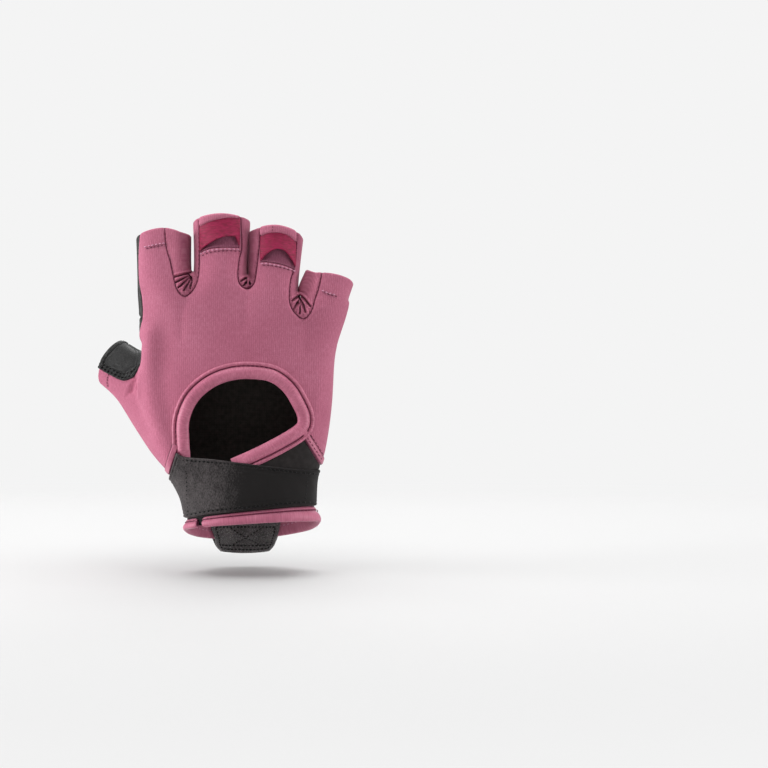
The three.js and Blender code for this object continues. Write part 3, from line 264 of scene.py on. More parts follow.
# Folds, seen from the back (-1) or the palm (1)
folds = table(
    "side high wide line",
    (-1, -1.5, 0.8, [(-51.8, 66), (-52.4, 63), (-53.4, 60)]),
    (-1, -1.1, 0.8, [(-53.8, 64), (-54.8, 61), (-56, 58)]),
    (-1, 0.9, 1.2, [(-50.2, 66), (-50.8, 61), (-51.6, 56)]),
    (-1, -0.6, 0.9, [(-55.6, 61.6), (-56.8, 58.6), (-57.8, 56)]),
    (-1, -1.1, 2.2, [(-50.6, 80), (-53.4, 77.6), (-57, 80)]),
    (-1, 1.9, 4.8, [(-46.6, 84), (-47, 62), (-43.6, 44), (-37, 30)]),
    (-1, -0.4, 0.5, [(-66.2, 67), (-67, 63.4), (-66.8, 59.6)]),
    (-1, -0.7, 2.4, [(-54, 58), (-52, 50), (-46, 40)]),
    (-1, -0.55, 5, [(-41.6, 84), (-41, 62), (-37, 44)]),
    (-1, -0.35, 2.2, [(-30, 99.5), (-31.6, 93), (-32, 84)]),
    (-1, -0.35, 2.2, [(-2, 103.6), (-2.4, 97), (-2.2, 90)]),
    (-1, -0.4, 2.4, [(23.8, 90), (24.4, 84), (24, 76)]),
    (-1, -0.4, 2, [(29.6, 30), (31, 38), (32, 48)]),
    (-1, 0.4, 2.4, [(32, 62), (30, 54), (30, 44)]),
    (1, -0.9, 2.4, [(-47.5, 70), (-46, 62), (-42, 50), (-38, 38)]),
    (1, 0.5, 3, [(-44, 74), (-40, 62), (-34, 50)]),
    (1, -0.5, 2.6, [(-30, 46), (-14, 36), (4, 34), (22, 40)]),
    (1, -0.35, 2.2, [(34, 70), (26, 62), (16, 58)]),
    (1, 0.35, 4, [(-20, 58), (-4, 60), (12, 68)]),
)
# Where the ribs end on each finger tab, left to right as seen from the back
rib_tops = [(-56, 117), (-48, 118.6), (-33.6, 121.6), (-21, 124.6), (-8, 125.2), (4.2, 117), (15.6, 115.6),
            (23, 99), (31, 95.6), (38, 92), (44, 86)]
# Gussets are gathered at the webs: each crease runs from the notch's bottom to the web. left, right and web
# are how far the walls stand out there, fall how they drop away from the seam, and shade how dark the shadow
# painted into the gap is left and right of the web.
gussets = {
    "index_middle": {
        "web_x": -27.6, "web_z": 112.3, "left": 0.5, "right": 0.25, "web": 0.5, "fall": 0.2,
        "shade": (1.0, 0.3),
        "creases": [
            [(-36, 110.4), (-31.5, 111.6), (-27.8, 112.4)], [(-35, 107.9), (-31, 110), (-27.7, 111.8)],
            [(-33.2, 105.8), (-30, 108.8), (-27.5, 111.4)], [(-30.8, 104.4), (-28.9, 107.8), (-27.3, 110.8)],
            [(-28, 105.2), (-27.4, 107.6), (-27.1, 110)],
        ],
    },
    "middle_ring": {
        "web_x": -1.8, "web_z": 110.3, "left": 0.5, "right": 0.8, "web": 1.6, "fall": 0.1,
        "shade": (0.5, 1.0),
        "creases": [
            [(-4.6, 108.8), (-3, 109.8), (-1.9, 110.4)], [(-3.4, 106.8), (-2.4, 108.4), (-1.8, 110)],
            [(-0.6, 107.2), (-1.2, 108.8), (-1.7, 110)],
        ],
    },
    "ring_little": {
        "web_x": 21.6, "web_z": 102.6, "left": 0.3, "right": 1.5, "web": 1.6, "fall": 0.1,
        "shade": (0.5, 0.6),
        "creases": [
            [(18.8, 99.8), (20.2, 101), (21.3, 102.4)], [(19.6, 96), (21, 99), (21.5, 102)],
            [(22.2, 93.8), (22.2, 98), (21.7, 102)], [(24.8, 94.4), (23.5, 98.2), (22, 102)],
            [(27, 97.2), (24.8, 99.8), (22.4, 102.2)],
        ],
    },
}
# Sections of the two bindings, with the corners of each seam groove and their seam values. The opening's is
# across and up in mm, the cuff's along the wall in heights of the binding and outwards in mm.
binding_section = [
    (-2.9, -1.5), (-3.2, -0.5), (-3.05, 0.5), (-2.4, 1.3), (-1.3, 1.8), (0, 1.95), (1.1, 1.75), (1.9, 1.2),
    (2.4, 0.5), (2.65, 0.0), (3.0, 0.0), (3.25, 0.45), (3.7, 0.8), (4.3, 0.7), (4.75, 0.2), (4.95, -0.6),
    (2.4, -1.6), (-0.4, -1.7),
]
BINDING_GROOVE = {8: 0.9, 9: 0.0, 10: 0.0, 11: 0.9}
cuff_section = [
    (0.5, -1.45), (0.5, 0.1), (0.43, 0.55), (0.35, 0.6), (0.3, 0.1), (0.25, 0.1), (0.19, 0.5), (0.1, 1.0),
    (-0.04, 1.3), (-0.2, 1.3), (-0.34, 0.95), (-0.44, 0.3), (-0.49, -0.6), (-0.46, -1.5), (-0.3, -2.2),
    (0, -2.4), (0.6, -2.35), (1.3, -2.25), (1.34, -1.95), (1.3, -1.68), (0.55, -1.62),
]
CUFF_GROOVE = {3: 0.9, 4: 0.0, 5: 0.0, 6: 0.9}
slit_section = [(-2.4, -1.3), (2.4, -1.3), (2.4, -0.6), (-2.4, -0.6)]


# Small tools
def most(*fields):
    return np.maximum.reduce(fields)


def least(*fields):
    return np.minimum.reduce(fields)


def smoothstep(x, low, high):
    t = np.clip((x - low) / (high - low), 0, 1)
    return t * t * (3 - 2 * t)


def ease(distance, reach):
    """1 on a seam, falling smoothly to 0 at reach."""
    return np.clip(1 - np.abs(distance) / reach, 0, 1) ** 2


def bell(distance, wide):
    return np.exp(-((distance / wide) ** 2))


def unit(vector):
    return vector / np.linalg.norm(vector)


def units(rows):
    return rows / np.linalg.norm(rows, axis=1, keepdims=True)


def soft_noise(p, size, seed):
    """A smooth, seeded unevenness made of a few crossing waves, between about -1 and 1."""
    rng = np.random.default_rng(seed)
    total = np.zeros(len(p))
    for _ in range(7):
        way = unit(rng.normal(size=3)) * rng.uniform(0.6, 1.4) * 2 * np.pi / size
        total += np.sin(p @ way + rng.uniform(0, 2 * np.pi))
    return total / 3.5


def gather(count, at, values):
    """Sums of the values that fall on each of a count of places."""
    out = np.zeros((count, values.shape[1]))
    np.add.at(out, at, values)
    return out


def tidy(data, faces):
    """Leaves out the points that no face uses."""
    used, place = np.unique(faces, return_inverse=True)
    return data[used], place.reshape(faces.shape)


def sides_of(tris):
    return np.concatenate([tris[:, [0, 1]], tris[:, [1, 2]], tris[:, [2, 0]]])


def boundary(tris):
    """Edges used by one triangle only, in that triangle's order."""
    sides = sides_of(tris)
    _, place, uses = np.unique(np.sort(sides, axis=1), axis=0, return_index=True, return_counts=True)
    return sides[place[uses == 1]]


def vertex_normals(points, tris):
    a, b, c = points[tris].transpose(1, 0, 2)
    normal = np.cross(b - a, c - a)
    out = gather(len(points), tris.T.ravel(), np.tile(normal, (3, 1)))
    return out / np.maximum(np.linalg.norm(out, axis=1, keepdims=True), 1e-12)


# Lines and distances
def smooth(points, steps=8, closed=False):
    """A Catmull-Rom line through points, with a number of steps for each span."""
    p = np.array(points, float)
    if closed:
        p = np.concatenate([p[-1:], p, p[:2]])
    else:
        p = np.concatenate([[2 * p[0] - p[1]], p, [2 * p[-1] - p[-2]]])
    t = (np.arange(steps) / steps)[:, None]
    spans = []
    for a, b, c, d in zip(p, p[1:], p[2:], p[3:]):
        bend = (2 * a - 5 * b + 4 * c - d) * t**2 + (3 * b - a - 3 * c + d) * t**3
        spans.append(0.5 * (2 * b + (c - a) * t + bend))
    return np.concatenate(spans if closed else [*spans, p[-2:-1]])


def evenly(line, step, start=0.0, end=0.0):
    """Points along a line at an even step, leaving a margin at each end."""
    line = np.asarray(line, float)
    along = lengths_along(line)
    count = max(2, int(round((along[-1] - start - end) / step)) + 1)
    at = np.linspace(start, along[-1] - end, count)
    return np.column_stack([np.interp(at, along, line[:, k]) for k in range(line.shape[1])])


def lengths_along(line):
    return np.concatenate([[0], np.cumsum(np.linalg.norm(np.diff(line, axis=0), axis=1))])


def line_distance(at, line):
    """Distance from each point to an open line."""
    best = np.full(len(at), np.inf)
    for a, b in zip(line, line[1:]):
        ab = b - a
        t = np.clip(((at - a) @ ab) / max(ab @ ab, 1e-12), 0, 1)
        best = np.minimum(best, np.linalg.norm(at - a - t[:, None] * ab, axis=1))
    return best


def outline_distance(at, outline):
    """Distance from each point to a closed outline, negative inside it."""
    outline = np.array(outline, float)
    inside = np.zeros(len(at), bool)
    for (x0, y0), (x1, y1) in zip(outline, np.roll(outline, -1, axis=0)):
        crosses = (y0 > at[:, 1]) != (y1 > at[:, 1])
        if crosses.any():
            where = x0 + (at[:, 1] - y0) * (x1 - x0) / (y1 - y0 if y1 != y0 else 1e-12)
            inside ^= crosses & (at[:, 0] < where)
    distance = line_distance(at, np.concatenate([outline, outline[:1]]))
    return np.where(inside, -distance, distance)


def seen(p, outline):
    """Distance to an outline of x and z, as seen along Y."""
    return outline_distance(p[:, [0, 2]], outline)


def near_line(p, line):
    return line_distance(p[:, [0, 2]], line)


def on_back(p, field, other=ELSEWHERE):
    return np.where(p[:, 1] < 0, field, other)


# The smooth surface of the glove
def refine(points, faces):
    """One round of Catmull-Clark subdivision."""
    count = len(points)
    starts = faces.ravel()
    pairs = np.sort(np.stack([starts, np.roll(faces, -1, axis=1).ravel()], 1), axis=1)
    edges, edge_of, uses = np.unique(pairs, axis=0, return_inverse=True, return_counts=True)
    edge_of = edge_of.ravel()
    centres = points[faces].mean(1)
    at_corners = np.repeat(centres, 4, axis=0)
    half = points[edges].mean(1)
    across = gather(len(edges), edge_of, at_corners)
    edge_points = np.where((uses == 2)[:, None], (half + across / 2) / 2, half)
    faces_at = np.bincount(starts, minlength=count)[:, None]
    edges_at = np.bincount(edges.ravel(), minlength=count)[:, None]
    face_sum = gather(count, starts, at_corners)
    half_sum = gather(count, edges.T.ravel(), np.tile(half, (2, 1)))
    moved = ((faces_at - 3) * points + face_sum / faces_at + 2 * half_sum / edges_at) / faces_at
    rim = edges[uses == 1]
    beside = gather(count, rim.T.ravel(), points[rim[:, ::-1].T.ravel()])
    on_rim = np.unique(rim)
    moved[on_rim] = 0.75 * points[on_rim] + 0.125 * beside[on_rim]
    middles = (count + edge_of).reshape(-1, 4)
    inner = np.repeat((count + len(edges) + np.arange(len(faces)))[:, None], 4, axis=1)
    smaller = np.stack([faces, middles, inner, np.roll(middles, 1, axis=1)], axis=2).reshape(-1, 4)
    return np.concatenate([moved, edge_points, centres]), smaller


def arc(share, power):
    return (1 - abs(share) ** power) ** (1 / power)


def hand_ring(s):
    centre = (s["left"] + s["right"]) / 2
    half = (s["right"] - s["left"]) / 2
    back, palm = [], []
    for share in COLUMN_SHARES:
        lift = arc(share, SECTION_ROUND)
        level = s["radial_z"] + (s["ulnar_z"] - s["radial_z"]) * (share + 1) / 2
        bulge = s["thenar"] * bell(share - THENAR_SHARE, THENAR_WIDE)
        x = centre + half * share
        back.append((x, -s["back"] * lift, level + s["rise"] * lift))
        palm.append((x, s["palm"] * lift + bulge, level - s["drop"] * lift))
    return [(s["left"], 0, s["radial_z"]), *back, (s["right"], 0, s["ulnar_z"]), *reversed(palm)]


def root_ring():
    back = [(c["x"], c["back"], c["z"]) for c in root_columns]
    palm = [(c["x"], c["palm"], c["z"] - 1) for c in reversed(root_columns)]
    return [ROOT_RADIAL, *back, ROOT_ULNAR, *palm]


def finger_ring(s):
    across = FINGER_CORNER * s["half"]
    deep = arc(FINGER_CORNER, FINGER_ROUND) * s["depth"]

    def corner(side, face):
        side_z = s["left"] if side < 0 else s["right"]
        face_z = s["back"] if face < 0 else s["palm"]
        return (s["x"] + side * across, s["y"] + face * deep, (side_z + face_z) / 2)

    return [
        corner(-1, -1), (s["x"], s["y"] - s["depth"], s["back"]), corner(1, -1),
        (s["x"] + s["half"], s["y"], s["right"]), corner(1, 1),
        (s["x"], s["y"] + s["depth"], s["palm"]), corner(-1, 1), (s["x"] - s["half"], s["y"], s["left"]),
    ]


def thumb_ring(s):
    aim = unit(np.array(s["aim"]))
    up = unit(np.array([aim[2], 0, -aim[0]]))
    palmward = unit(np.cross(aim, up))
    centre = np.array(s["centre"], float)
    angles = np.radians(THUMB_ANGLES)
    return [centre + up * s["high"] * np.cos(a) + palmward * s["deep"] * np.sin(a) for a in angles]


def glove_cage():
    """Points and four-sided faces: the cuts across the hand joined up, then the tubes."""
    points, faces = [], []

    def add(ring):
        points.extend(np.array(p, float) for p in ring)
        return list(range(len(points) - len(ring), len(points)))

    def tube(base, sections, ring_of):
        for section in sections:
            above = add(ring_of(section))
            for i in range(len(base)):
                j = (i + 1) % len(base)
                faces.append([base[i], base[j], above[j], above[i]])
            base = above

    rows = [hand_ring(s) for s in hand_sections]
    first = next(i for i, s in enumerate(hand_sections) if s["radial_z"] == thumb_root[0]["z"])
    last = first + len(thumb_root) - 1
    for row, section in zip(rows[first:], thumb_root):
        row[1] = (*section["back"], section["z"])
        row[AROUND - 1] = (*section["palm"], section["z"])
        if section["side"]:
            row[0] = (*section["side"], section["z"])
    rings = [add(row) for row in [*rows, root_ring()]]
    for r, (low, high) in enumerate(zip(rings, rings[1:])):
        for k in range(AROUND):
            if not (first <= r < last and k in (0, AROUND - 1)):
                after = (k + 1) % AROUND
                faces.append([low[k], low[after], high[after], high[k]])
    top = rings[-1] + add(webs)
    for finger, base in finger_roots.items():
        tube([top[k] for k in base], finger_sections[finger], finger_ring)
    low, high, between = rings[first], rings[last], rings[first + 1:last]
    base = [high[1], high[0], high[-1], *[r[-1] for r in reversed(between)], low[-1], low[0], low[1]]
    tube([*base, *[r[1] for r in between]], thumb_sections, thumb_ring)
    return tidy(np.array(points), np.array(faces))


def glove_surface():
    """Points, triangles of the wall, and all triangles, which reach a little below the cuff."""
    wanted, faces = glove_cage()
    points = wanted.copy()
    for _ in range(FIT_ROUNDS):
        points += wanted - refine(*refine(points, faces))[0][: len(wanted)]
    for _ in range(LEVELS):
        points, faces = refine(points, faces)
    a, b, c, d = faces.T
    short = np.linalg.norm(points[a] - points[c], axis=1) <= np.linalg.norm(points[b] - points[d], axis=1)
    one = np.where(short[:, None], np.stack([a, b, c], 1), np.stack([a, b, d], 1))
    two = np.where(short[:, None], np.stack([a, c, d], 1), np.stack([b, c, d], 1))
    tris = np.stack([one, two], 1).reshape(-1, 3)
    return points, tris[2 * AROUND * 4**LEVELS:], tris


def fold_height(p, n):
    height = np.zeros(len(p))
    for fold in folds:
        facing = np.clip(fold["side"] * n[:, 1] / 0.4 + 0.5, 0, 1)
        height += fold["high"] * bell(near_line(p, smooth(fold["line"], 4)), fold["wide"]) * facing
    return height


# Regions of the surface, each as a field that is below zero inside it
def notch_field(p, notch):
    lines = [smooth(notch[side]) for side in ("back", "palm")]
    back, palm = (seen(p, [*s, (s[-1][0], NOTCH_TOP), (s[0][0], NOTCH_TOP)]) for s in lines)
    return on_back(p, back, palm)


def above_thumb_plane(p):
    return (p @ THUMB_PLANE - THUMB_PLANE_AT) / np.linalg.norm(THUMB_PLANE)


def leather_field(p):
    x, y, z = p.T
    outline = [
        *smooth(thumb_seam), (-39.6, 19.6), (-60, 22), (-60, -30), (60, -30), (60, 25), *smooth(little_seam),
        (60, 150), (-85, 150), (-85, 66),
    ]
    lower = most(SPLIT_Y - y, -above_thumb_plane(p), z - THUMB_TOP)
    upper = most(-y, THUMB_TOP - 1 - z, THUMB_FOOT_X - x)
    turned = outline_distance(p[:, [1, 2]], [*smooth(index_turn), (FAR, 71), (FAR, 150)])
    turn = most(turned, THUMB_FOOT_X - x, x - INDEX_TURN_X)
    return most(seen(p, outline), least(lower, upper, turn))


def wrist_field(p):
    (ri, ro), (ui, uo) = wrist_radial, wrist_ulnar
    outline = [ri, ro, (-60, ro[1]), (-60, -30), (60, -30), (60, uo[1]), uo, ui, (12, 42), (-20, 42)]
    tip = seen(p, [(-60, 22), (-39.6, 19.6), (-28.5, 12.3), (-20, 40), (-60, 40)])
    return most(seen(p, outline), -most(tip, HEM_SIDE_Y - p[:, 1]))


def hem_field(p, seam, side):
    inner, outer = (np.array(end, float) for end in seam)
    along = unit(outer - inner)
    across = np.array([-along[1], along[0]]) * side * HEM_WIDE
    start = inner - along * HEM_LEAD
    beyond = [(side * 60, outer[1]), (side * 60, outer[1] + HEM_WIDE)]
    outline = [start, outer, *beyond, outer + across, start + across]
    return most(seen(p, outline), p[:, 1] - HEM_SIDE_Y)


def loop_field(p, loop, part):
    corners = [(loop["right"], loop["top"]), (loop["left"], loop["top"])]
    return on_back(p, seen(p, [*smooth(loop[part]), *corners]))


def patch_field(p):
    over = above_thumb_plane(p) - PATCH_TURN
    return most(seen(p, smooth(patch_outline, closed=True)), over, PATCH_Y[0] - p[:, 1], p[:, 1] - PATCH_Y[1])


def rim_distance():
    """From each point to the nearest rim of a finger or the thumb."""
    rim = [i for i in np.unique(boundary(wall_tris)) if points[i, 2] > RIMS_Z]
    tree = KDTree(len(rim))
    for i, v in enumerate(rim):
        tree.insert(Vector(points[v]), i)
    tree.balance()
    return np.array([tree.find(Vector(p))[2] for p in points])


points, wall_tris, all_tris = glove_surface()
flat_normals = vertex_normals(points, all_tris)
rise = fold_height(points, flat_normals) + UNEVEN * soft_noise(points, UNEVEN_SIZE, 3)
points = points + flat_normals * rise[:, None]
normals = vertex_normals(points, all_tris)
# Wales run up the back and keep their spacing where the sides turn to the palm
turned_out = np.where(points[:, 0] < -5, -1.0, 1.0)
wale = points[:, 0] + turned_out * 2 * np.log1p(np.exp(np.minimum((points[:, 1] + 8) / 2, 30)))
strap_outline = [*smooth(strap_low), *smooth(strap_top), *strap_hem_edge]

# Each vertex of the wall: place, normal, wale coordinate, distance to a rim, and the regions
PLACE, NORMAL = slice(0, 3), slice(3, 6)
fields = {"wale": wale, "rim": rim_distance()}
fields.update({name: notch_field(points, notch) for name, notch in notches.items()})
fields.update({
    "leather": leather_field(points),
    "grip": seen(points, [*smooth(grip_seam), (60, 160), (-62, 160)]),
    "wrist": wrist_field(points),
    "hem_radial": hem_field(points, wrist_radial, -1),
    "hem_ulnar": hem_field(points, wrist_ulnar, 1),
    "opening": on_back(points, seen(points, smooth(binding_line))),
    "strap": most(seen(points, strap_outline), points[:, 1] - STRAP_REACH),
    "patch": patch_field(points),
})
for finger, loop in loops.items():
    for part in ("panel", "ribbon", "band"):
        fields[f"{finger}_{part}"] = loop_field(points, loop, part)
COLUMN = {name: 6 + i for i, name in enumerate(fields)}
wall = np.column_stack([points, normals, *fields.values()])


# Cutting pieces out of the wall
def field_of(data, name):
    return data[:, COLUMN[name]]


def cut(data, tris, value):
    """Splits triangles where value changes sign. Returns the data, triangles and value of the finer mesh."""
    value = np.where(np.abs(value) < 0.01, 0.01 * np.where(value < 0, -1, 1), value)
    below = value < 0
    mixed = below[tris].any(1) & ~below[tris].all(1)
    cross = tris[mixed]
    if not len(cross):
        return data, tris, value
    lone = np.where(below[cross].sum(1) == 1, below[cross].T, ~below[cross].T).argmax(0)
    a, b, c = np.take_along_axis(cross, (lone[:, None] + np.arange(3)) % 3, axis=1).T
    pairs = np.sort(np.concatenate([np.stack([a, b], 1), np.stack([a, c], 1)]), axis=1)
    edges, edge_of = np.unique(pairs, axis=0, return_inverse=True)
    ab, ac = (edge_of.ravel() + len(data)).reshape(2, -1)
    low, high = value[edges[:, 0]], value[edges[:, 1]]
    share = (low / (low - high))[:, None]
    new = data[edges[:, 0]] * (1 - share) + data[edges[:, 1]] * share
    parts = [np.stack([a, ab, ac], 1), np.stack([ab, b, c], 1), np.stack([ab, c, ac], 1)]
    tris = np.concatenate([tris[~mixed], *parts])
    return np.concatenate([data, new]), tris, np.concatenate([value, np.zeros(len(new))])


def refined(data, tris, times=1):
    """Each triangle in four, a number of times.

    What the inner face is made from is returned too: the triangles as they were, and their border, with each
    edge of it as the row of finer points along it.
    """
    coarse, border = tris, boundary(tris)
    for _ in range(times):
        count = len(data)
        edges, edge_of = np.unique(np.sort(sides_of(tris), axis=1), axis=0, return_inverse=True)
        ab, bc, ca = (edge_of.ravel() + count).reshape(3, -1)
        a, b, c = tris.T
        parts = [np.stack(t, 1) for t in ((a, ab, ca), (ab, b, bc), (ca, bc, c), (ab, bc, ca))]
        data, tris = np.concatenate([data, data[edges].mean(1)]), np.concatenate(parts)
        low, high = least(border[:, :-1], border[:, 1:]), most(border[:, :-1], border[:, 1:])
        middles = count + np.searchsorted(edges[:, 0] * count + edges[:, 1], low * count + high)
        rows = np.stack([border[:, :-1], middles], 2).reshape(len(border), -1)
        border = np.column_stack([rows, border[:, -1]])
    return data, tris, (coarse, border)


def without(*names):
    return [(name, GAP, False) for name in names]


def within(*names):
    return [(name, -GAP, True) for name in names]


def carved(tris, cuts, rings, times=1):
    """A mesh of what the cuts leave of the wall, with edges along the rings, so that profiles are crisp.

    A cut is a region, a level of its field and whether its inside is kept. A ring is a region and distances
    from its edge, on the side that is kept.
    """
    data = wall
    for name, level, inside in cuts:
        data, tris, value = cut(data, tris, field_of(data, name) - level)
        total = value[tris].sum(1)
        data, tris = tidy(data, tris[total < 0] if inside else tris[total > 0])
    kept_inside = {name for name, _, inside in cuts if inside}
    for name, distances in rings:
        for distance in distances:
            level = -distance if name in kept_inside else distance
            data, tris, _ = cut(data, tris, field_of(data, name) - level)
    return refined(data, tris, times)


# Materials
def linear(rgb):
    levels = [c / 255 for c in rgb]
    return (*(c / 12.92 if c <= 0.04045 else ((c + 0.055) / 1.055) ** 2.4 for c in levels), 1.0)


class Nodes:
    """A material under construction. node() adds any node, and the others add the kinds used most."""

    def __init__(self, name, roughness, sheen=0.0, sheen_tint=(1, 1, 1), specular=0.5):
        self.material = bpy.data.materials.new(name)
        self.material.use_nodes = True
        self.tree = self.material.node_tree
        self.shader = self.tree.nodes["Principled BSDF"]
        self.set("Roughness", roughness)
        self.set("Sheen Weight", sheen)
        self.set("Sheen Roughness", 0.4)
        self.set("Sheen Tint", (*sheen_tint, 1))
        self.set("Specular IOR Level", specular)

    def set(self, socket, value):
        self.feed(self.shader.inputs[socket], value)

    def feed(self, socket, value):
        """Gives a socket a number or colour, or another node's output."""
        if isinstance(value, (int, float, tuple)):
            socket.default_value = value
        else:
            self.tree.links.new(value, socket)

    def node(self, kind, **values):
        """values are settings, or inputs with _ for the space in their names."""
        node = self.tree.nodes.new(kind)
        for name, value in values.items():
            socket = name.replace("_", " ")
            if socket in node.inputs:
                self.feed(node.inputs[socket], value)
            else:
                setattr(node, name, value)
        return node

    def coords(self, *stretch, uv=False):
        """Coordinates in millimetres, over the object or along the cloth, multiplied by stretch."""
        stretch = stretch or (1, 1, 1)
        if uv:
            source = self.node("ShaderNodeUVMap", uv_map="cloth").outputs["UV"]
        else:
            source = self.node("ShaderNodeTexCoord").outputs["Object"]
            stretch = tuple(s / MM for s in stretch)
        return self.node("ShaderNodeMapping", Vector=source, Scale=stretch).outputs["Vector"]

    def noise(self, vector, detail, rough=0.5, scale=1.0):
        node = self.node("ShaderNodeTexNoise", Vector=vector, Scale=scale, Detail=detail, Roughness=rough)
        return node.outputs["Fac"]

    def math(self, operation, *values):
        node = self.node("ShaderNodeMath", operation=operation)
        for socket, value in zip(node.inputs, values):
            self.feed(socket, value)
        return node.outputs["Value"]

    def scaled(self, value, share, rest=0.0):
        """value times share, plus rest."""
        return self.math("MULTIPLY_ADD", value, share, rest)

    def part(self, vector, axis):
        return self.node("ShaderNodeSeparateXYZ", Vector=vector).outputs[axis]

    def wave(self, vector, axis, pitch, wobble=0.0):
        """A sine from 0 to 1 along one coordinate, with a pitch in millimetres."""
        at = self.math("ADD", self.part(vector, axis), wobble)
        return self.scaled(self.math("SINE", self.scaled(at, 2 * np.pi / pitch)), 0.5, 0.5)

    def fade(self, value, start, end, start_value, end_value):
        node = self.node("ShaderNodeMapRange", interpolation_type="SMOOTHSTEP", Value=value, From_Min=start,
                         From_Max=end, To_Min=start_value, To_Max=end_value)
        return node.outputs["Result"]

    def ramp(self, value, *stops):
        node = self.node("ShaderNodeValToRGB", Fac=value)
        elements = node.color_ramp.elements
        while len(elements) < len(stops):
            elements.new(0.5)
        for element, (position, colour) in zip(elements, stops):
            element.position = position
            element.color = colour
        return node.outputs["Color"]

    def mix(self, share, one, two):
        node = self.node("ShaderNodeMix", data_type="RGBA")
        for socket, value in zip((0, 6, 7), (share, one, two)):
            self.feed(node.inputs[socket], value)
        return node.outputs[2]

    def mark(self, colour, attribute, level, share, shade):
        """Darkens a colour where an attribute is below a level, as painted shade."""
        below = self.math("LESS_THAN", self.attribute(attribute), level)
        return self.mix(self.scaled(below, share), colour, linear(shade))

    def attribute(self, name):
        return self.node("ShaderNodeAttribute", attribute_name=name).outputs["Fac"]

    def bump(self, height, depth, strength=1.0, **over):
        node = self.node("ShaderNodeBump", Strength=strength, Distance=depth * MM, Height=height, **over)
        return node.outputs["Normal"]

    def done(self, colour, normal):
        self.set("Base Color", colour)
        self.set("Normal", normal)
        return self.material


def knit_material(name, dark, mid, light, rib_depth):
    """Fine knit: wales along the hand, with lighter and darker yarns and a fine grain."""
    m = Nodes(name, 0.84, sheen=0.14, sheen_tint=(1.0, 0.7, 0.8), specular=0.2)
    cloth = m.coords(uv=True)
    wobble = m.scaled(m.noise(m.coords(0.3, 0.12, 1, uv=True), 1.0), 0.9)
    wales = m.wave(cloth, "X", 0.92, wobble)
    courses = m.wave(cloth, "Y", 0.62)
    yarn = m.noise(m.coords(1.9, 0.5, 1, uv=True), 3.0, 0.6)
    grain = m.noise(m.coords(2.6, 2.1, 1, uv=True), 1.0)
    broad = m.noise(m.coords(0.035, 0.035, 0.035), 2.0)
    tone = m.scaled(yarn, 0.5, m.scaled(broad, 0.3))
    tone = m.scaled(wales, 0.1, m.scaled(grain, 0.34, tone))
    colour = m.ramp(tone, (0.36, linear(dark)), (0.62, linear(mid)), (0.88, linear(light)))
    # Painted shade: the deep attribute darkens the knit along the gussets' creases and towards the gaps
    # between the fingers.
    colour = m.mix(m.scaled(m.attribute("deep"), 0.62), colour, linear((88, 30, 54)))
    # Painted shade at the bottom of the seams' grooves, where the seam attribute is small.
    colour = m.mark(colour, "seam", 0.2, 0.8, (104, 40, 66))
    height = m.scaled(wales, 0.5, m.scaled(courses, 0.2, m.scaled(yarn, 0.5)))
    return m.done(colour, m.bump(grain, 0.12, 0.5, Normal=m.bump(height, rib_depth, 0.7)))


def tape_material(name, dark, mid, light):
    """Smooth knitted tape with fine cross ribs and a soft shine."""
    m = Nodes(name, 0.5, sheen=0.12, sheen_tint=(1.0, 0.75, 0.85), specular=0.4)
    cross = m.wave(m.coords(uv=True), "X", 0.55)
    streak = m.noise(m.coords(1.4, 0.5, 1, uv=True), 3.0, 0.55)
    broad = m.noise(m.coords(0.08, 0.08, 0.08), 1.0)
    tone = m.scaled(cross, 0.12, m.scaled(streak, 0.6, m.scaled(broad, 0.4)))
    colour = m.ramp(tone, (0.3, linear(dark)), (0.56, linear(mid)), (0.85, linear(light)))
    # Painted shade where the seam attribute is small: in the bindings' stitched grooves, along the hems' sunk
    # edges and on the cuff binding's cut ends at the slit.
    colour = m.mark(colour, "seam", 0.5, 0.85, (96, 34, 60))
    return m.done(colour, m.bump(m.scaled(cross, 0.5, streak), 0.07, 0.5))


def leather_material(name, dark, light, grain, roughness, relief):
    """Fine-grained synthetic leather: small cells whose tops are painted lighter, as highlights on the grain.
    """
    m = Nodes(name, roughness, specular=0.32)
    place = m.coords()
    cells = m.node("ShaderNodeTexVoronoi", feature="DISTANCE_TO_EDGE", Scale=grain, Vector=place)
    pebbles = m.math("SMOOTH_MIN", cells.outputs["Distance"], 0.35, 0.1)
    fine = m.noise(place, 3.0, scale=2.4)
    broad = m.noise(place, 2.0, scale=0.06)
    tone = m.scaled(pebbles, 0.9, m.scaled(fine, 0.35, m.scaled(broad, 0.5)))
    colour = m.ramp(tone, (0.3, linear(dark)), (0.85, linear(light)))
    return m.done(colour, m.bump(fine, 0.1, 0.5, Normal=m.bump(pebbles, relief, 0.8)))


def brushed_material(name, dark, light, rough_end):
    """Brushed loop fabric, speckled where its loops catch the light, smoother past rough_end (from, to)."""
    m = Nodes(name, 0.8, sheen=0.06, specular=0.25)
    fuzz = m.noise(m.coords(2.2, 2.2, 1.1), 2.0, 0.7)
    mottle = m.noise(m.coords(0.3, 0.3, 0.16), 3.0, 0.6)
    spread = m.scaled(fuzz, 0.75, m.scaled(mottle, 0.35))
    spread = m.scaled(spread, m.fade(m.part(m.coords(), "X"), *rough_end, 1.0, 0.3))
    colour = m.ramp(spread, (0.36, linear(dark)), (0.8, linear(light)))
    return m.done(colour, m.bump(spread, 0.3, 0.9))


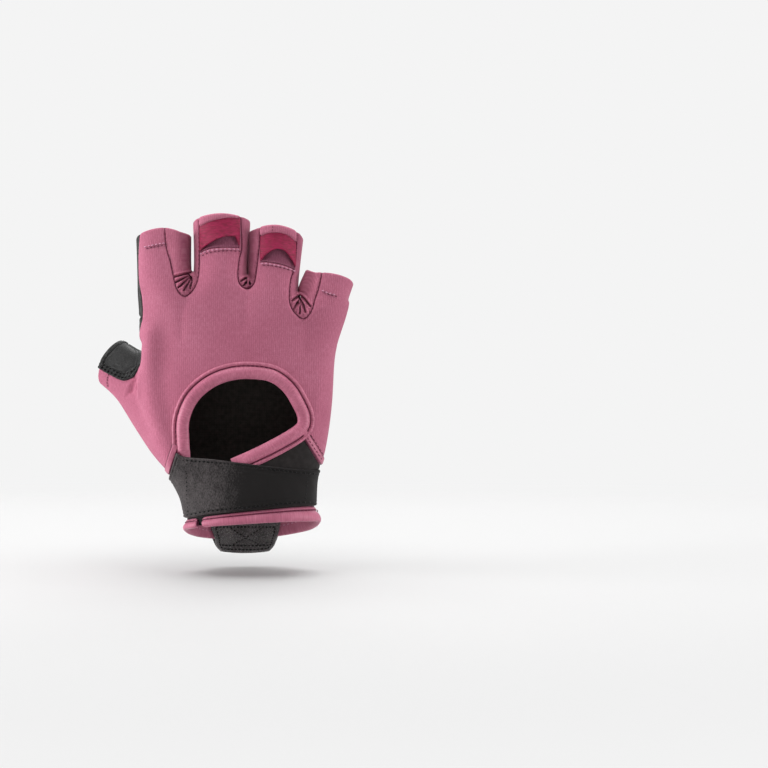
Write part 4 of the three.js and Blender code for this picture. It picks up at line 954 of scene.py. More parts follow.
def woven_material(name, dark, light, roughness, warp_pitch, weft_pitch, specular=0.25, grain=(0.5, 0.5, 0.5),
                   shares=(0.2, 0.8), stops=(0.3, 0.8), relief=0.06):
    """Close-woven fabric in one colour, with its threads in relief."""
    m = Nodes(name, roughness, specular=specular)
    warp = m.wave(m.coords(), "X", warp_pitch)
    weft = m.wave(m.coords(), "Z", weft_pitch)
    uneven = m.noise(m.coords(*grain), 3.0)
    tone = m.scaled(m.scaled(warp, weft), shares[0], m.scaled(uneven, shares[1]))
    colour = m.ramp(tone, (stops[0], linear(dark)), (stops[1], linear(light)))
    return m.done(colour, m.bump(m.math("ADD", warp, weft), relief, 0.6))


def thread_material(name, rgb, shine):
    m = Nodes(name, 0.55, sheen=0.1, specular=shine)
    twist = m.noise(m.coords(2.5, 2.5, 6.0), 1.0)
    colour = linear(rgb)
    dark = (*(0.6 * c for c in colour[:3]), 1.0)
    return m.done(m.ramp(twist, (0.3, dark), (0.7, colour)), m.bump(twist, 0.05, 0.5))


knit = knit_material("knit", (150, 80, 101), (176, 100, 124), (200, 128, 151), 0.16)
gusset_knit = knit_material("gusset_knit", (154, 82, 104), (184, 106, 130), (204, 130, 152), 0.08)
# A darker copy of the knit for the sunken panel under each ribbon: painted shade.
loop_knit = knit_material("loop_knit", (112, 58, 76), (134, 74, 96), (156, 94, 114), 0.1)
tape = tape_material("binding_tape", (152, 78, 102), (182, 101, 126), (208, 130, 154))
leather = leather_material("palm_leather", (15, 13, 12), (39, 35, 33), 1.2, 0.52, 0.3)
grip_leather = leather_material("grip_leather", (16, 14, 13), (43, 39, 37), 1.3, 0.46, 0.25)
patch_leather = leather_material("patch_leather", (3, 3, 3), (17, 17, 17), 2.2, 0.4, 0.45)
# A much lighter copy of the palm leather for the tab's inner layer: painted light.
tab_leather = leather_material("tab_leather", (34, 32, 32), (134, 130, 130), 1.1, 0.36, 0.9)
lining = woven_material("lining", (34, 32, 29), (56, 52, 48), 0.9, 0.8, 0.8)
wrist_cloth = woven_material("wrist_cloth", (26, 22, 22), (44, 39, 39), 0.75, 0.5, 0.5)
# A darker copy of the wrist band's cloth, for the strip behind the slit: painted shade.
black_cloth = woven_material("black_cloth", (10, 8, 8), (22, 18, 18), 0.8, 0.5, 0.5)
ribbon_cloth = woven_material("ribbon_weave", (104, 4, 40), (182, 22, 84), 0.5, 0.42, 0.5, specular=0.35,
                              grain=(0.4, 0.4, 1.5), shares=(0.35, 0.75), stops=(0.25, 0.75), relief=0.08)
strap_cloth = brushed_material("strap_cloth", (20, 17, 17), (92, 86, 87), (-22.0, 12.0))
seam_thread = thread_material("seam_thread", (128, 52, 80), 0.3)
light_thread = thread_material("light_thread", (216, 148, 176), 0.4)
black_thread = thread_material("black_thread", (9, 8, 8), 0.2)
dark_thread = thread_material("dark_thread", (120, 56, 80), 0.3)


# Meshes and pieces
def mesh_object(name, verts, faces, materials, face_slots=None, uv=None, **attributes):
    """A smooth object from points in millimetres and a list of arrays of faces. face_slots pick materials."""
    corners = np.concatenate([group.ravel() for group in faces])
    sizes = np.concatenate([np.full(len(group), group.shape[1]) for group in faces])
    mesh = bpy.data.meshes.new(name)
    mesh.vertices.add(len(verts))
    mesh.vertices.foreach_set("co", (verts * MM).ravel())
    mesh.loops.add(len(corners))
    mesh.loops.foreach_set("vertex_index", corners)
    mesh.polygons.add(len(sizes))
    mesh.polygons.foreach_set("loop_start", np.concatenate([[0], np.cumsum(sizes)[:-1]]))
    mesh.update(calc_edges=True)
    for material in materials:
        mesh.materials.append(material)
    if face_slots is not None:
        mesh.polygons.foreach_set("material_index", face_slots)
    if uv is not None:
        mesh.uv_layers.new(name="cloth").data.foreach_set("uv", uv[corners].ravel())
    for attribute, values in attributes.items():
        mesh.attributes.new(attribute, "FLOAT", "POINT").data.foreach_set("value", values)
    mesh.validate()
    mesh.polygons.foreach_set("use_smooth", np.ones(len(mesh.polygons), bool))
    mesh.set_sharp_from_angle(angle=np.radians(SHARP_ANGLE))
    made = bpy.data.objects.new(name, mesh)
    bpy.context.scene.collection.objects.link(made)
    return made


def make(name, node, *mesh, **more):
    """A piece of the glove, which rides on its one body in place of a CAD node."""
    piece = mesh_object(name, *mesh, **more)
    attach(piece, "root")
    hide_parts(node)


def shell(name, node, mesh, outer, inner, outside, inside=None, seam=None, deep=None):
    """A panel: an outer face at one height over the surface, an inner face at another, and the edge between.

    mesh comes from carved(), and the inner face is made from its coarser triangles.
    """
    data, tris, (coarse, border) = mesh
    place, normal = data[:, PLACE], units(data[:, NORMAL])
    count, under = len(place), coarse.max() + 1
    inner_face = place + normal * np.reshape(inner, (-1, 1))
    verts = np.concatenate([place + normal * outer[:, None], inner_face[:under]])
    sides = np.column_stack([border[:, ::-1], border[:, 0] + count, border[:, -1] + count])
    faces = [tris, coarse[:, ::-1] + count, sides]
    slots = np.repeat([0, 1, 0], [len(group) for group in faces])
    # seam and deep become attributes, which the knit and tape materials use to paint shade.
    seam = np.full(count, UNSEAMED) if seam is None else seam
    deep = np.zeros(count) if deep is None else deep
    both = np.r_[0:count, 0:under]
    uv = np.column_stack([field_of(data, "wale"), data[:, 2]])[both]
    make(name, node, verts, faces, [outside, inside or outside], slots, uv, seam=seam[both], deep=deep[both])


def rim_roll(data):
    """1 at the rims of the fingers and the thumb, falling to 0 away from them."""
    return ease(field_of(data, "rim"), ROLL_REACH)


def panel(name, node, cuts, seams, outside, inside, seam_depth=0.5, pillow=0.12, finer=0, relief=None):
    """A panel sewn along the regions that seams names, sunk along them and plump beside them."""
    rings = [(region, SEAM_RINGS) for region in seams]
    mesh = carved(wall_tris, cuts, [*rings, ("rim", EDGE_RINGS)], finer)
    data = mesh[0]
    away = least(*(np.abs(field_of(data, region)) for region in seams))
    roll = rim_roll(data)
    outer = pillow * ease(away - PILLOW_AT, PILLOW_AT) - (seam_depth + pillow) * ease(away, SEAM_REACH)
    outer -= ROLL * roll
    if relief:
        outer += relief(data)
    shell(name, node, mesh, outer, -LINING + INNER_ROLL * roll, outside, inside, away)


def rib_height(data):
    """The pressed ribs of the grip, each a low rounded ridge that fades out at its ends."""
    x, _, z = data[:, PLACE].T
    phase = ((x - RIB_LEAN * (z - 90)) / RIB_PITCH) % 1
    ridge = np.sqrt(np.maximum(0, 1 - ((phase - 0.5) / RIB_HALF) ** 2))
    low = smoothstep(np.abs(field_of(data, "grip")), RIB_CLEAR, RIB_CLEAR + 1.2)
    top = smoothstep(np.interp(x, *np.array(rib_tops).T) - z, 0, 1.4)
    palm_side = smoothstep(data[:, NORMAL][:, 1], 0.25, 0.6)
    sides = smoothstep(least(*(field_of(data, name) for name in notches)), 1.0, 1.8)
    uneven = 0.8 + 0.25 * soft_noise(data[:, PLACE], 14, 41)
    return RIB_PROUD * ridge * low * top * palm_side * sides * uneven


def gusset(name):
    """The side walls between two fingers, drawn together in creases at the web."""
    form = gussets[name]
    lines = [smooth(line, 6) for line in form["creases"]]
    data, tris, _ = carved(wall_tris, within(name), [(name, SEAM_RINGS), ("rim", EDGE_RINGS)], 0)
    for level in CREASE_RINGS:
        data, tris, _ = cut(data, tris, least(*(near_line(data, line) for line in lines)) - level)
    mesh = refined(data, tris)
    data = mesh[0]
    away = np.abs(field_of(data, name))
    roll = rim_roll(data)
    x, _, z = data[:, PLACE].T
    facing = units(data[:, NORMAL])
    to_right = smoothstep(-facing[:, 0], -0.4, 0.4)
    above = smoothstep(z, form["web_z"] - 1, form["web_z"] + 3)
    stand = form["left"] + (form["right"] - form["left"]) * to_right
    outer = GUSSET_PILLOW * ease(away - 1.3, 1.4) - GUSSET_SUNK * ease(away, 0.9) - ROLL * roll
    outer += stand * smoothstep(np.abs(facing[:, 0]), 0.5, 0.95) * above
    outer += form["web"] * smoothstep(facing[:, 2], 0.4, 0.9) * bell(x - form["web_x"], WEB_HALF)
    fall = form["fall"] * np.clip(away - 0.5, 0, 8)
    outer -= fall * smoothstep(-facing[:, 1], 0.1, 0.7) * smoothstep(z, 108, 118)
    pinch = (1 - ease(away, 0.8)) * smoothstep(-facing[:, 1], -0.5, 0.2)
    # shadow is shade painted along the creases, through the deep attribute.
    shadow = np.zeros(len(data))
    for line in lines:
        near = near_line(data, line)
        outer -= CREASE_DEEP * (bell(near, CREASE_HALF) - 0.5 * bell(near - 1.0, 0.45)) * pinch
        shadow = np.maximum(shadow, bell(near, 0.55) * pinch)
    # Painted shadow in the gap between the fingers: shade sets how dark it is, and gap spreads it; it goes
    # into the deep attribute.
    shade = form["shade"][0] + (form["shade"][1] - form["shade"][0]) * to_right
    gap = shade * np.clip(1 - np.abs(x - form["web_x"]) / GAP_HALF, 0, 1)
    inner = -LINING + INNER_ROLL * roll - 0.9 * (away > 0.5)
    shell(f"gusset_{name}_knit", f"gusset_{name}", mesh, outer, inner, gusset_knit, seam=away,
          deep=np.maximum(gap, 1.15 * shadow))


under_binding = ("opening", BINDING_LAP, False)
panel("back_panel_knit", "back_panel",
      [*without("leather", "wrist", "hem_radial", "hem_ulnar"), under_binding, *without(*notches),
       ("middle_panel", 0, False), ("ring_panel", 0, False)],
      [*notches, "leather", "middle_panel", "ring_panel"], knit, knit)
panel("palm_panel_leather", "palm_panel", within("leather") + without("grip", *notches), ["leather", "grip"],
      leather, lining)
panel("grip_panel_leather", "grip_panel", within("leather", "grip") + without(*notches),
      ["leather", "grip", *notches], grip_leather, lining, finer=1, relief=rib_height)
for name in gussets:
    gusset(name)

# The wrist band and its hems
panel("wrist_band", "wrist_panel", [*within("wrist"), *without("leather"), under_binding],
      ["wrist", "leather"], wrist_cloth, lining, seam_depth=0.3, pillow=0.0)
for side in ("radial", "ulnar"):
    region = f"hem_{side}"
    mesh = carved(wall_tris, [*within(region), *without("leather"), under_binding], [(region, EDGE_RINGS)])
    away = np.abs(field_of(mesh[0], region))
    outer = HEM_PROUD - (HEM_PROUD + HEM_SUNK) * ease(away, 0.9)
    shell(f"wrist_hem_{side}_tape", f"wrist_hem_{side}", mesh, outer, -LINING, tape, seam=away)

# Places on the surface, by looking at it along Y
surface_tree = BVHTree.FromPolygons(points.tolist(), all_tris.tolist())


def touch(x, z, side):
    """Where a line along Y meets the surface, from the back (-1) or the palm (1), and the normal there."""
    hit, _, index, _ = surface_tree.ray_cast(Vector((x, side * 200, z)), Vector((0, -side, 0)))
    if hit is None:
        return None
    arms = points[all_tris[index]] - hit
    areas = [np.linalg.norm(np.cross(arms[(k + 1) % 3], arms[(k + 2) % 3])) for k in range(3)]
    normal = unit(np.array(areas) @ normals[all_tris[index]])
    return None if normal[1] * side < TURNED_AWAY else (np.array(hit), normal)


def touch_line(line, side):
    """Where a line of x and z lies on the surface. What runs past the surface is left out."""
    found = [at for at in (touch(x, z, side) for x, z in line) if at is not None]
    return np.array([f[0] for f in found]), np.array([f[1] for f in found])


def frames_along(path, facing):
    """The direction across a path, which is facing x tangent, and the direction up from it."""
    ahead = np.roll(path, -1, axis=0) - np.roll(path, 1, axis=0)
    ahead[0] = path[1] - path[0]
    ahead[-1] = path[-1] - path[-2]
    tangent = units(ahead)
    across = units(np.cross(facing, tangent))
    return across, np.cross(tangent, across)


def bands(rows, around, base=0):
    """Quads between neighbouring rings of points, a ring in each row."""
    low = base + np.arange(rows - 1)[:, None] * around + np.arange(around)
    after = np.roll(low, -1, axis=1)
    return np.stack([low, after, after + around, low + around], 2).reshape(-1, 4)


def sweep(path, facing, section, wide=1.0, high=1.0, lean=0.0):
    """Verts, faces and cloth coordinates of a section of (across, up) points swept along an open path.

    lean moves the far side of the section up, by this much for each width of the section.
    """
    count, corners = len(path), len(section)
    wide, high, lean = (np.broadcast_to(value, count)[:, None, None] for value in (wide, high, lean))
    across, up = frames_along(path, facing)
    section = np.array(section, float)
    sideways, upwards = section[None, :, :1], section[None, :, 1:]
    rise = upwards * high + sideways * lean
    verts = (path[:, None] + across[:, None] * (sideways * wide) + up[:, None] * rise).reshape(-1, 3)
    ring = np.arange(corners)
    fans = []
    for middle, edge in enumerate((ring[::-1], (count - 1) * corners + ring), start=len(verts)):
        fans.append(np.stack([np.full(corners, middle), edge, np.roll(edge, -1)], 1))
    along = lengths_along(path)
    uv = np.stack(np.meshgrid(along, lengths_along(section), indexing="ij"), -1).reshape(-1, 2)
    uv = np.concatenate([uv, [[0, 0], [along[-1], 0]]])
    verts = np.concatenate([verts, path[[0, -1]]])
    return verts, [bands(count, corners), np.concatenate(fans)], uv


def groove_values(section, path, marks):
    """The seam value of each vertex of a sweep: low in the groove."""
    ring = np.full(len(section), UNSEAMED)
    for corner, value in marks.items():
        ring[corner] = value
    return np.concatenate([np.tile(ring, len(path)), [UNSEAMED, UNSEAMED]])


# How a stitch swells and dips from needle hole to needle hole
stitch_profile = table("along swell bend", (-0.5, 0.35, -1.6), (-0.25, 0.9, 0.2), (0, 1.0, 0.9),
                       (0.25, 0.9, 0.2), (0.5, 0.35, -1.6))


def stitches(name, node, rows, thread, thick, fill, lift=0.12):
    """One mesh of thread. A row holds points at the needle holes and the directions away from the cloth."""
    verts, faces = [], []
    turn = np.linspace(0, 2 * np.pi, STITCH_SIDES, endpoint=False)
    for path, facing in rows:
        for a, b, n in zip(path[:-1], path[1:], facing[:-1]):
            length = np.linalg.norm(b - a)
            if length < 0.2:
                continue
            faces.append(bands(len(stitch_profile), STITCH_SIDES, STITCH_SIDES * len(verts)))
            way = (b - a) / length
            side = unit(np.cross(n, way))
            up = np.cross(way, side)
            round_it = np.outer(np.cos(turn), side) + 0.75 * np.outer(np.sin(turn), up)
            for at in stitch_profile:
                middle = (a + b) / 2 + way * (at["along"] * length * fill) + up * (lift + at["bend"] * 0.12)
                verts.append(middle + thick * at["swell"] * round_it)
    make(name, node, np.concatenate(verts), [np.concatenate(faces)], [thread])


def stitch_row(path, facing, pitch, away=0.0, lift=0.0, start=0.5, end=0.5):
    """Needle holes along a path on the surface, to one side of it, with the cloth's direction at each."""
    across, up = frames_along(path, facing)
    both = evenly(np.column_stack([path + across * away + up * lift, facing]), pitch, start, end)
    return both[:, :3], both[:, 3:]


def moved_aside(line, away):
    """A line of x and z moved to one side by away."""
    flat = np.column_stack([line[:, 0], np.zeros(len(line)), line[:, 1]])
    across, _ = frames_along(flat, np.tile([0.0, -1.0, 0.0], (len(line), 1)))
    return line + across[:, [0, 2]] * away


def opening_binding():
    """The binding round the opening over the back of the hand, flatter under the strap, and its thread."""
    flat = evenly(smooth(binding_line, 16), BINDING_STEP)
    path, facing = touch_line(flat, -1)
    to_strap = outline_distance(flat, strap_outline)
    high = BINDING_FLAT + (1 - BINDING_FLAT) * smoothstep(to_strap, -0.5, 3.5)
    high = high * (1 + 0.05 * soft_noise(path, 9, 11))
    verts, faces, uv = sweep(path, facing, binding_section, high=high)
    seam = groove_values(binding_section, path, BINDING_GROOVE)
    make("opening_binding_tape", "opening_binding", verts, faces, [tape], uv=uv, seam=seam)
    first, last = np.flatnonzero(to_strap > -1)[[0, -1]]
    for _ in range(6):
        facing[1:-1] = (facing[:-2] + facing[1:-1] * 2 + facing[2:]) / 4
        facing = units(facing)
    groove = stitch_row(path[first:last], facing[first:last], BINDING_PITCH, *BINDING_STITCHES)
    stitches("opening_binding_thread", "opening_binding", [groove], seam_thread, 0.22, 0.7)


def wrist_strap():
    """The strap, sunk under its rows of stitches and thinner where its ends are sewn down."""
    mesh = carved(all_tris, [("strap", 0, True)], [("strap", STRAP_RINGS)])
    data = mesh[0]
    x, y, _ = data[:, PLACE].T
    away = -field_of(data, "strap")
    swell = STRAP_SWELL * bell(near_line(data, smooth(binding_line)), 4.5) * smoothstep(away, -1, 3)
    rows = bell(away - STRAP_GROOVES[0], 0.45) + 0.5 * bell(away - STRAP_GROOVES[1], 0.6)
    pucker = STRAP_PUCKER * soft_noise(data[:, PLACE], 7, 5)
    sewn = np.maximum(smoothstep(y, STRAP_REACH - 3, STRAP_REACH), 0.8 * smoothstep(x, 25, 31))
    thick = STRAP_THICK - ease(away, EDGE_REACH) - STRAP_SUNK * rows + pucker + swell
    outer = STRAP_OVER + thick * (1 - STRAP_SEWN_THIN * sewn)
    shell("wrist_strap_cloth", "wrist_strap", mesh, outer, STRAP_OVER, strap_cloth)


def thumb_patch():
    """The patch on the thumb, sunk under its rows of stitches and where it turns over the rim."""
    mesh = carved(wall_tris, [("patch", 0, True)], [("patch", PATCH_RINGS)])
    away = -field_of(mesh[0], "patch")
    rows = sum(bell(away - groove, GROOVE_HALF) for groove in PATCH_GROOVES)
    fold = bell(field_of(mesh[0], "rim") - PATCH_RIM_FOLD, GROOVE_HALF)
    outer = PATCH_OVER + PATCH_THICK - 0.6 * ease(away, 0.7) - PATCH_SUNK * rows - PATCH_FOLD_SUNK * fold
    shell("thumb_patch_leather", "thumb_patch", mesh, outer, PATCH_OVER, patch_leather, lining)


def finger_loop(finger):
    """The sunken panel over a finger, the band at the finger's tip and the ribbon arched over the panel."""
    loop = loops[finger]
    base = without(*loop["between"], "leather")
    bed, ribbon, band = (f"{finger}_{part}" for part in ("panel", "ribbon", "band"))
    mesh = carved(wall_tris, [*base, (bed, 0, True)], [])
    outer = -BED_DEEP * smoothstep(-field_of(mesh[0], bed), 0, BED_SLOPE) - 0.2 * rim_roll(mesh[0])
    # The sunken panel takes the darker copy of the knit, as painted shade under the ribbon.
    shell(f"loop_bed_{finger}", "back_panel", mesh, outer, -LINING - BED_UNDER, loop_knit)

    mesh = carved(wall_tris, [*base, (band, 0, True)], [(band, BAND_RINGS), ("rim", EDGE_RINGS)])
    away, roll = -field_of(mesh[0], band), rim_roll(mesh[0])
    outer = BAND_HALF + 0.25 * smoothstep(away, 0, 2) - 0.6 * ease(away, EDGE_REACH) - BAND_ROLL * roll
    inner = 0.4 * roll - BAND_HALF
    shell(f"loop_band_{finger}_knit", f"loop_band_{finger}", mesh, outer, inner, gusset_knit)

    mesh = carved(wall_tris, [*base, (ribbon, 0, True), (band, RIBBON_GAP, False)], [(ribbon, RIBBON_RINGS)])
    share = (mesh[0][:, 0] - loop["left"]) / (loop["right"] - loop["left"])
    low = -field_of(mesh[0], ribbon)
    arch = np.sin(np.pi * np.clip(share, 0, 1))
    stand = RIBBON_STAND + RIBBON_ARCH * arch * np.exp(-low / RIBBON_FALL)
    outer, inner = stand - 0.25 * ease(low, 0.5), stand - RIBBON_THICK
    shell(f"loop_ribbon_{finger}_weave", f"loop_ribbon_{finger}", mesh, outer, inner, ribbon_cloth)


def cuff_path(margin):
    """The wall's lower rim from the slit all the way round to it, leaving a margin at each end."""
    after = {a: b for a, b in boundary(wall_tris) if points[a, 2] < CUFF_Z}
    rim = [next(iter(after))]
    while after[rim[-1]] != rim[0]:
        rim.append(after[rim[-1]])
    both = np.column_stack([points[rim], normals[rim]])
    behind = both[:, 1] < -5
    start = np.flatnonzero(behind)[np.abs(both[behind, 0] - CUFF_SLIT_X).argmin()]
    both = np.roll(both, -start, axis=0)
    both = evenly(np.vstack([both, both[:1]]), BINDING_STEP, margin, margin)
    return both[:, :3], units(both[:, 3:])


def cuff_binding():
    """The binding round the wrist, open at the slit and flared at the sides, with its threads."""
    edge, facing = cuff_path(CUFF_SLIT / 2)
    across, _ = frames_along(edge, facing)
    way = np.sign(across[:, 2].mean())  # 1 where across points up the wall
    tall = CUFF_TALL * (1 + CUFF_LEAN * edge[:, 0])
    downward = np.where(across[:, 2:] > 0, -1.0, 1.0) * across
    line = edge + downward * (CUFF_GAP + tall / 2)[:, None]
    along = np.arange(len(edge)) * BINDING_STEP
    to_end = np.minimum(along, along[::-1])
    taper = np.sqrt(np.clip(1 - (1 - np.clip(to_end / CUFF_TAPER, 0, 1)) ** 2, 0.05, 1))
    high = (CUFF_END_HIGH + (1 - CUFF_END_HIGH) * taper) * (1 + 0.06 * soft_noise(line, 8, 17))
    flare = np.where(facing[:, 0] < 0, *CUFF_FLARE) * facing[:, 0] ** 2
    line = line + facing * (flare / 2)[:, None]
    section = [(way * up, out) for up, out in cuff_section]
    wide = tall * (CUFF_END_WIDE + (1 - CUFF_END_WIDE) * taper)
    verts, faces, uv = sweep(line, facing, section, wide=wide, high=high, lean=-way * flare)
    if way < 0:
        faces = [group[:, ::-1] for group in faces]
    seam = groove_values(section, line, CUFF_GROOVE)
    seam[: len(section)] = 0  # the cut ends at the slit lie in shadow
    seam[-2 - len(section):] = 0
    make("cuff_binding_tape", "cuff_binding", verts, faces, [tape], uv=uv, seam=seam)
    cloth_behind_slit()
    upward = way * across * tall[:, None]
    groove = CUFF_STITCHES * upward + 0.12 * facing
    inside = CUFF_INNER_STITCHES * upward - CUFF_INSIDE * facing
    threads = {
        "cuff_binding_thread": (groove, facing, 1.5, seam_thread, 0.22, 0.7),
        "cuff_binding_inner_thread": (inside, -facing, 2, light_thread, 0.24, 0.6),
    }
    for name, (aside, out, margin, thread, thick, fill) in threads.items():
        both = evenly(np.column_stack([line + aside, out]), BINDING_PITCH, margin, margin)
        stitches(name, "cuff_binding", [(both[:, :3], both[:, 3:])], thread, thick, fill)


def cloth_behind_slit():
    """A strip of the wrist band's cloth that closes the slit in the binding from behind, darker than the
    band: painted shade in the slit.
    """
    edge, facing = cuff_path(0)
    at = np.r_[-9:-1, 0:9]
    verts, faces, _ = sweep(edge[at] - (0, 0, 1.3), facing[at], slit_section)
    make("wrist_band_at_slit", "wrist_panel", verts, faces, [black_cloth])


opening_binding()
wrist_strap()
thumb_patch()
for finger in loops:
    finger_loop(finger)
cuff_binding()


# The pull tab at the heel of the palm: an outer layer, and an inner one that is turned in over the binding
def tab_grid(rows):
    """Places and facings of a layer's points, in rows down the tab."""
    spaced = evenly(smooth([list(row.values()) for row in rows], 12), 0.5)
    at = np.linspace(0, len(spaced) - 1, TAB_ROWS)
    lines = np.column_stack([np.interp(at, np.arange(len(spaced)), spaced[:, k]) for k in range(4)])
    place, facing = np.zeros((2, TAB_ROWS, TAB_COLS, 3))
    for r, (z, left, right, stand) in enumerate(lines):
        for c, share in enumerate(np.linspace(0, 1, TAB_COLS)):
            point, normal = touch(left + (right - left) * share, max(z, TAB_HANGS_FROM), 1)
            normal[2] = 0
            facing[r, c] = unit(normal)
            bow = TAB_BOW * (1 - (2 * share - 1) ** 2) * smoothstep(-z, 9, 16)
            place[r, c] = np.array([point[0], point[1], z - bow]) + facing[r, c] * stand
    return place, facing


def tab_layer(name, grid, way, thick, material):
    """A layer of the tab. way is 1 where its face looks away from the wrist and -1 where it looks inwards."""
    place, facing = (part.reshape(-1, 3) for part in grid)
    facing = facing * way
    count = TAB_ROWS * TAB_COLS
    row, col = np.divmod(np.arange(count), TAB_COLS)
    from_top = row * TAB_LONG / (TAB_ROWS - 1)
    down = (TAB_ROWS - 1 - row) * TAB_LONG / (TAB_ROWS - 1)
    edge = np.minimum(down, np.minimum(col, TAB_COLS - 1 - col) * TAB_WIDE / (TAB_COLS - 1))
    face = thick - 0.5 * thick * ease(edge, 0.9)
    if way > 0:
        face *= 0.15 + 0.85 * smoothstep(from_top, 0, 3)
    for groove in TAB_GROOVES:
        face -= TAB_SUNK * bell(edge - groove, GROOVE_HALF)
    face += 0.12 * soft_noise(place, 9, 23)
    under = 0.2 * thick * ease(edge, 0.9)
    verts = np.concatenate([place + facing * face[:, None], place + facing * under[:, None]])
    ring = np.arange(count).reshape(TAB_ROWS, TAB_COLS)
    quads = np.stack([ring[:-1, :-1], ring[:-1, 1:], ring[1:, 1:], ring[1:, :-1]], 2).reshape(-1, 4)
    rim = np.concatenate([ring[0, :-1], ring[:-1, -1], ring[-1, :0:-1], ring[:0:-1, 0]])
    after = np.roll(rim, -1)
    sides = np.stack([after, rim, rim + count, after + count], 1)
    faces = np.concatenate([quads, quads[:, ::-1] + count, sides])
    make(name, "pull_tab", verts, [faces[:, ::-1] if way < 0 else faces], [material])


def tab_line(grid, start, end, lift, way):
    """Stitches in a straight line on a layer between two (row share, column share) places."""
    shares = np.linspace(0, 1, 24)[:, None] * (np.array(end) - start) + start
    row, col = np.round(shares * (TAB_ROWS - 1, TAB_COLS - 1)).astype(int).T
    place, facing = grid[0][row, col], grid[1][row, col]
    return stitch_row(place + facing * (way * lift), facing * way, 1.7, start=0, end=0)


# The tab's inner layer wears the lighter copy of the leather, as painted light.
tab_looks = table("layer way thick top cover", ("outer", 1, 1.9, 0.12, leather),
                  ("inner", -1, 1.2, 0.42, tab_leather))
for look in tab_looks:
    layer, way, thick, top, cover = look.values()
    grid = tab_grid(tab_layers[layer])
    tab_layer(f"pull_tab_{layer}", grid, way, thick, cover)
    corners = [(top, 0.06), (top, 0.94), (0.92, 0.93), (0.92, 0.07)]
    ends = list(zip(corners, corners[1:] + corners[:1]))
    ends += [((top + 0.02, left), (0.82, right)) for left, right in ((0.28, 0.74), (0.74, 0.28))]
    ends.append(((0.82, 0.08), (0.82, 0.92)))
    lines = [tab_line(grid, start, end, thick - 0.1, way) for start, end in ends]
    stitches(f"pull_tab_{layer}_thread", "pull_tab", lines, black_thread, 0.3, 0.75)

# Seams round the notches, on the knit and on the leather
notch_threads = table("face side node thread thick top", ("back", -1, "back_panel", seam_thread, 0.2, 132),
                      ("palm", 1, "grip_panel", black_thread, 0.22, 126))
for name, notch in notches.items():
    for sewing in notch_threads:
        line = moved_aside(smooth(notch[sewing["face"]], 10), 0.1)
        line = evenly(line[line[:, 1] < sewing["top"]], STITCH_PITCH)
        stitches(f"gusset_{name}_{sewing['face']}_thread", sewing["node"], [touch_line(line, sewing["side"])],
                 sewing["thread"], sewing["thick"], 0.62, -0.1)


def shifted(line, dz, dx=0.0):
    return [(x + dx, z + dz) for x, z in line]


# Rows of stitches along lines of x and z, on the back (-1) or on the palm (1)
strap_rows = [
    [(-29, 1.4), (-20, 3.5), (-10, 4.6), (4, 5.9), (15, 7.1), (23.7, 7.5), (32, 6.8)],
    [(-31.5, 27), (-27, 26.6), (-17, 25.7), (-5, 24.1), (9.5, 22.3), (24.4, 20.9), (32, 20.8)],
    [(23.6, 8.4), (24.6, 19.8)],
    [(-27.6, 2.6), (-28.4, 14), (-28.6, 26)],
]
window_rows = [
    [(-49.4, 124.2), (-44, 125.4), (-39.4, 126.2)],
    *[shifted(loop["panel"], -1.1) for loop in loops.values()],
    [(31.9, 104.6), (35, 103.2), (38.6, 102.3)],
]
grip_rows = [
    [(-50.4, 121), (-41, 125.5), (-33.4, 127)], [(-20, 127.2), (-8.2, 127.4)], [(4.9, 119.8), (15.8, 118.4)],
    [(29, 100.6), (31.6, 99.5), (37.9, 96.5), (42.4, 95.2)],
]
thread_rows = table(
    "name node side thread lift thick fill pitch lines",
    ("wrist_strap_thread", "wrist_strap", -1, black_thread, STRAP_OVER + STRAP_THICK - 0.3, 0.46, 0.62, 1.9,
     strap_rows),
    ("palm_seam_thread", "palm_panel", 1, black_thread, 0.05, 0.42, 0.62, 1.9,
     [shifted(grip_seam[1:-1], -1.4)]),
    ("grip_seam_thread", "grip_panel", 1, black_thread, 0.05, 0.42, 0.62, 1.9,
     [shifted(grip_seam[1:-1], 1.2)]),
    ("wrist_hem_radial_thread", "wrist_hem_radial", -1, seam_thread, HEM_PROUD, 0.26, 0.7, 1.9,
     [[(-32.6, 31.2), (-37.2, 19.4)], [(-30.9, 32), (-36, 20)]]),
    ("wrist_hem_ulnar_thread", "wrist_hem_ulnar", -1, seam_thread, HEM_PROUD, 0.26, 0.7, 1.9,
     [[(25.2, 37.4), (32.6, 25.2)], [(26.8, 38.4), (33.2, 27.6)]]),
    ("loop_band_ring_thread", "loop_band_ring", -1, seam_thread, 1.3, 0.2, 0.7, 1.9,
     [[(9.7, 130.9), (9.8, 134.2)]]),
    ("knit_cover_thread", "back_panel", -1, light_thread, 0.2, 0.36, 0.66, 1.8, window_rows),
    ("knit_hem_thread", "back_panel", -1, dark_thread, 0.14, 0.3, 0.6, 1.8,
     [shifted(row, -0.75, 0.9) for row in window_rows]),
    ("thumb_hem_thread", "back_panel", -1, dark_thread, 0.02, 0.2, 0.8, 1.4,
     [[(-66.6, 66.4), (-67.5, 63.4), (-67.2, 60.2)]]),
    ("grip_hem_thread", "grip_panel", 1, black_thread, 0.1, 0.4, 0.62, 1.9, grip_rows),
)
for sewing in thread_rows:
    name, node, side, thread, lift, thick, fill, pitch, lines = sewing.values()
    touched = [touch_line(evenly(smooth(line, 6), pitch), side) for line in lines]
    stitches(name, node, [(path + facing * lift, facing) for path, facing in touched], thread, thick, fill)

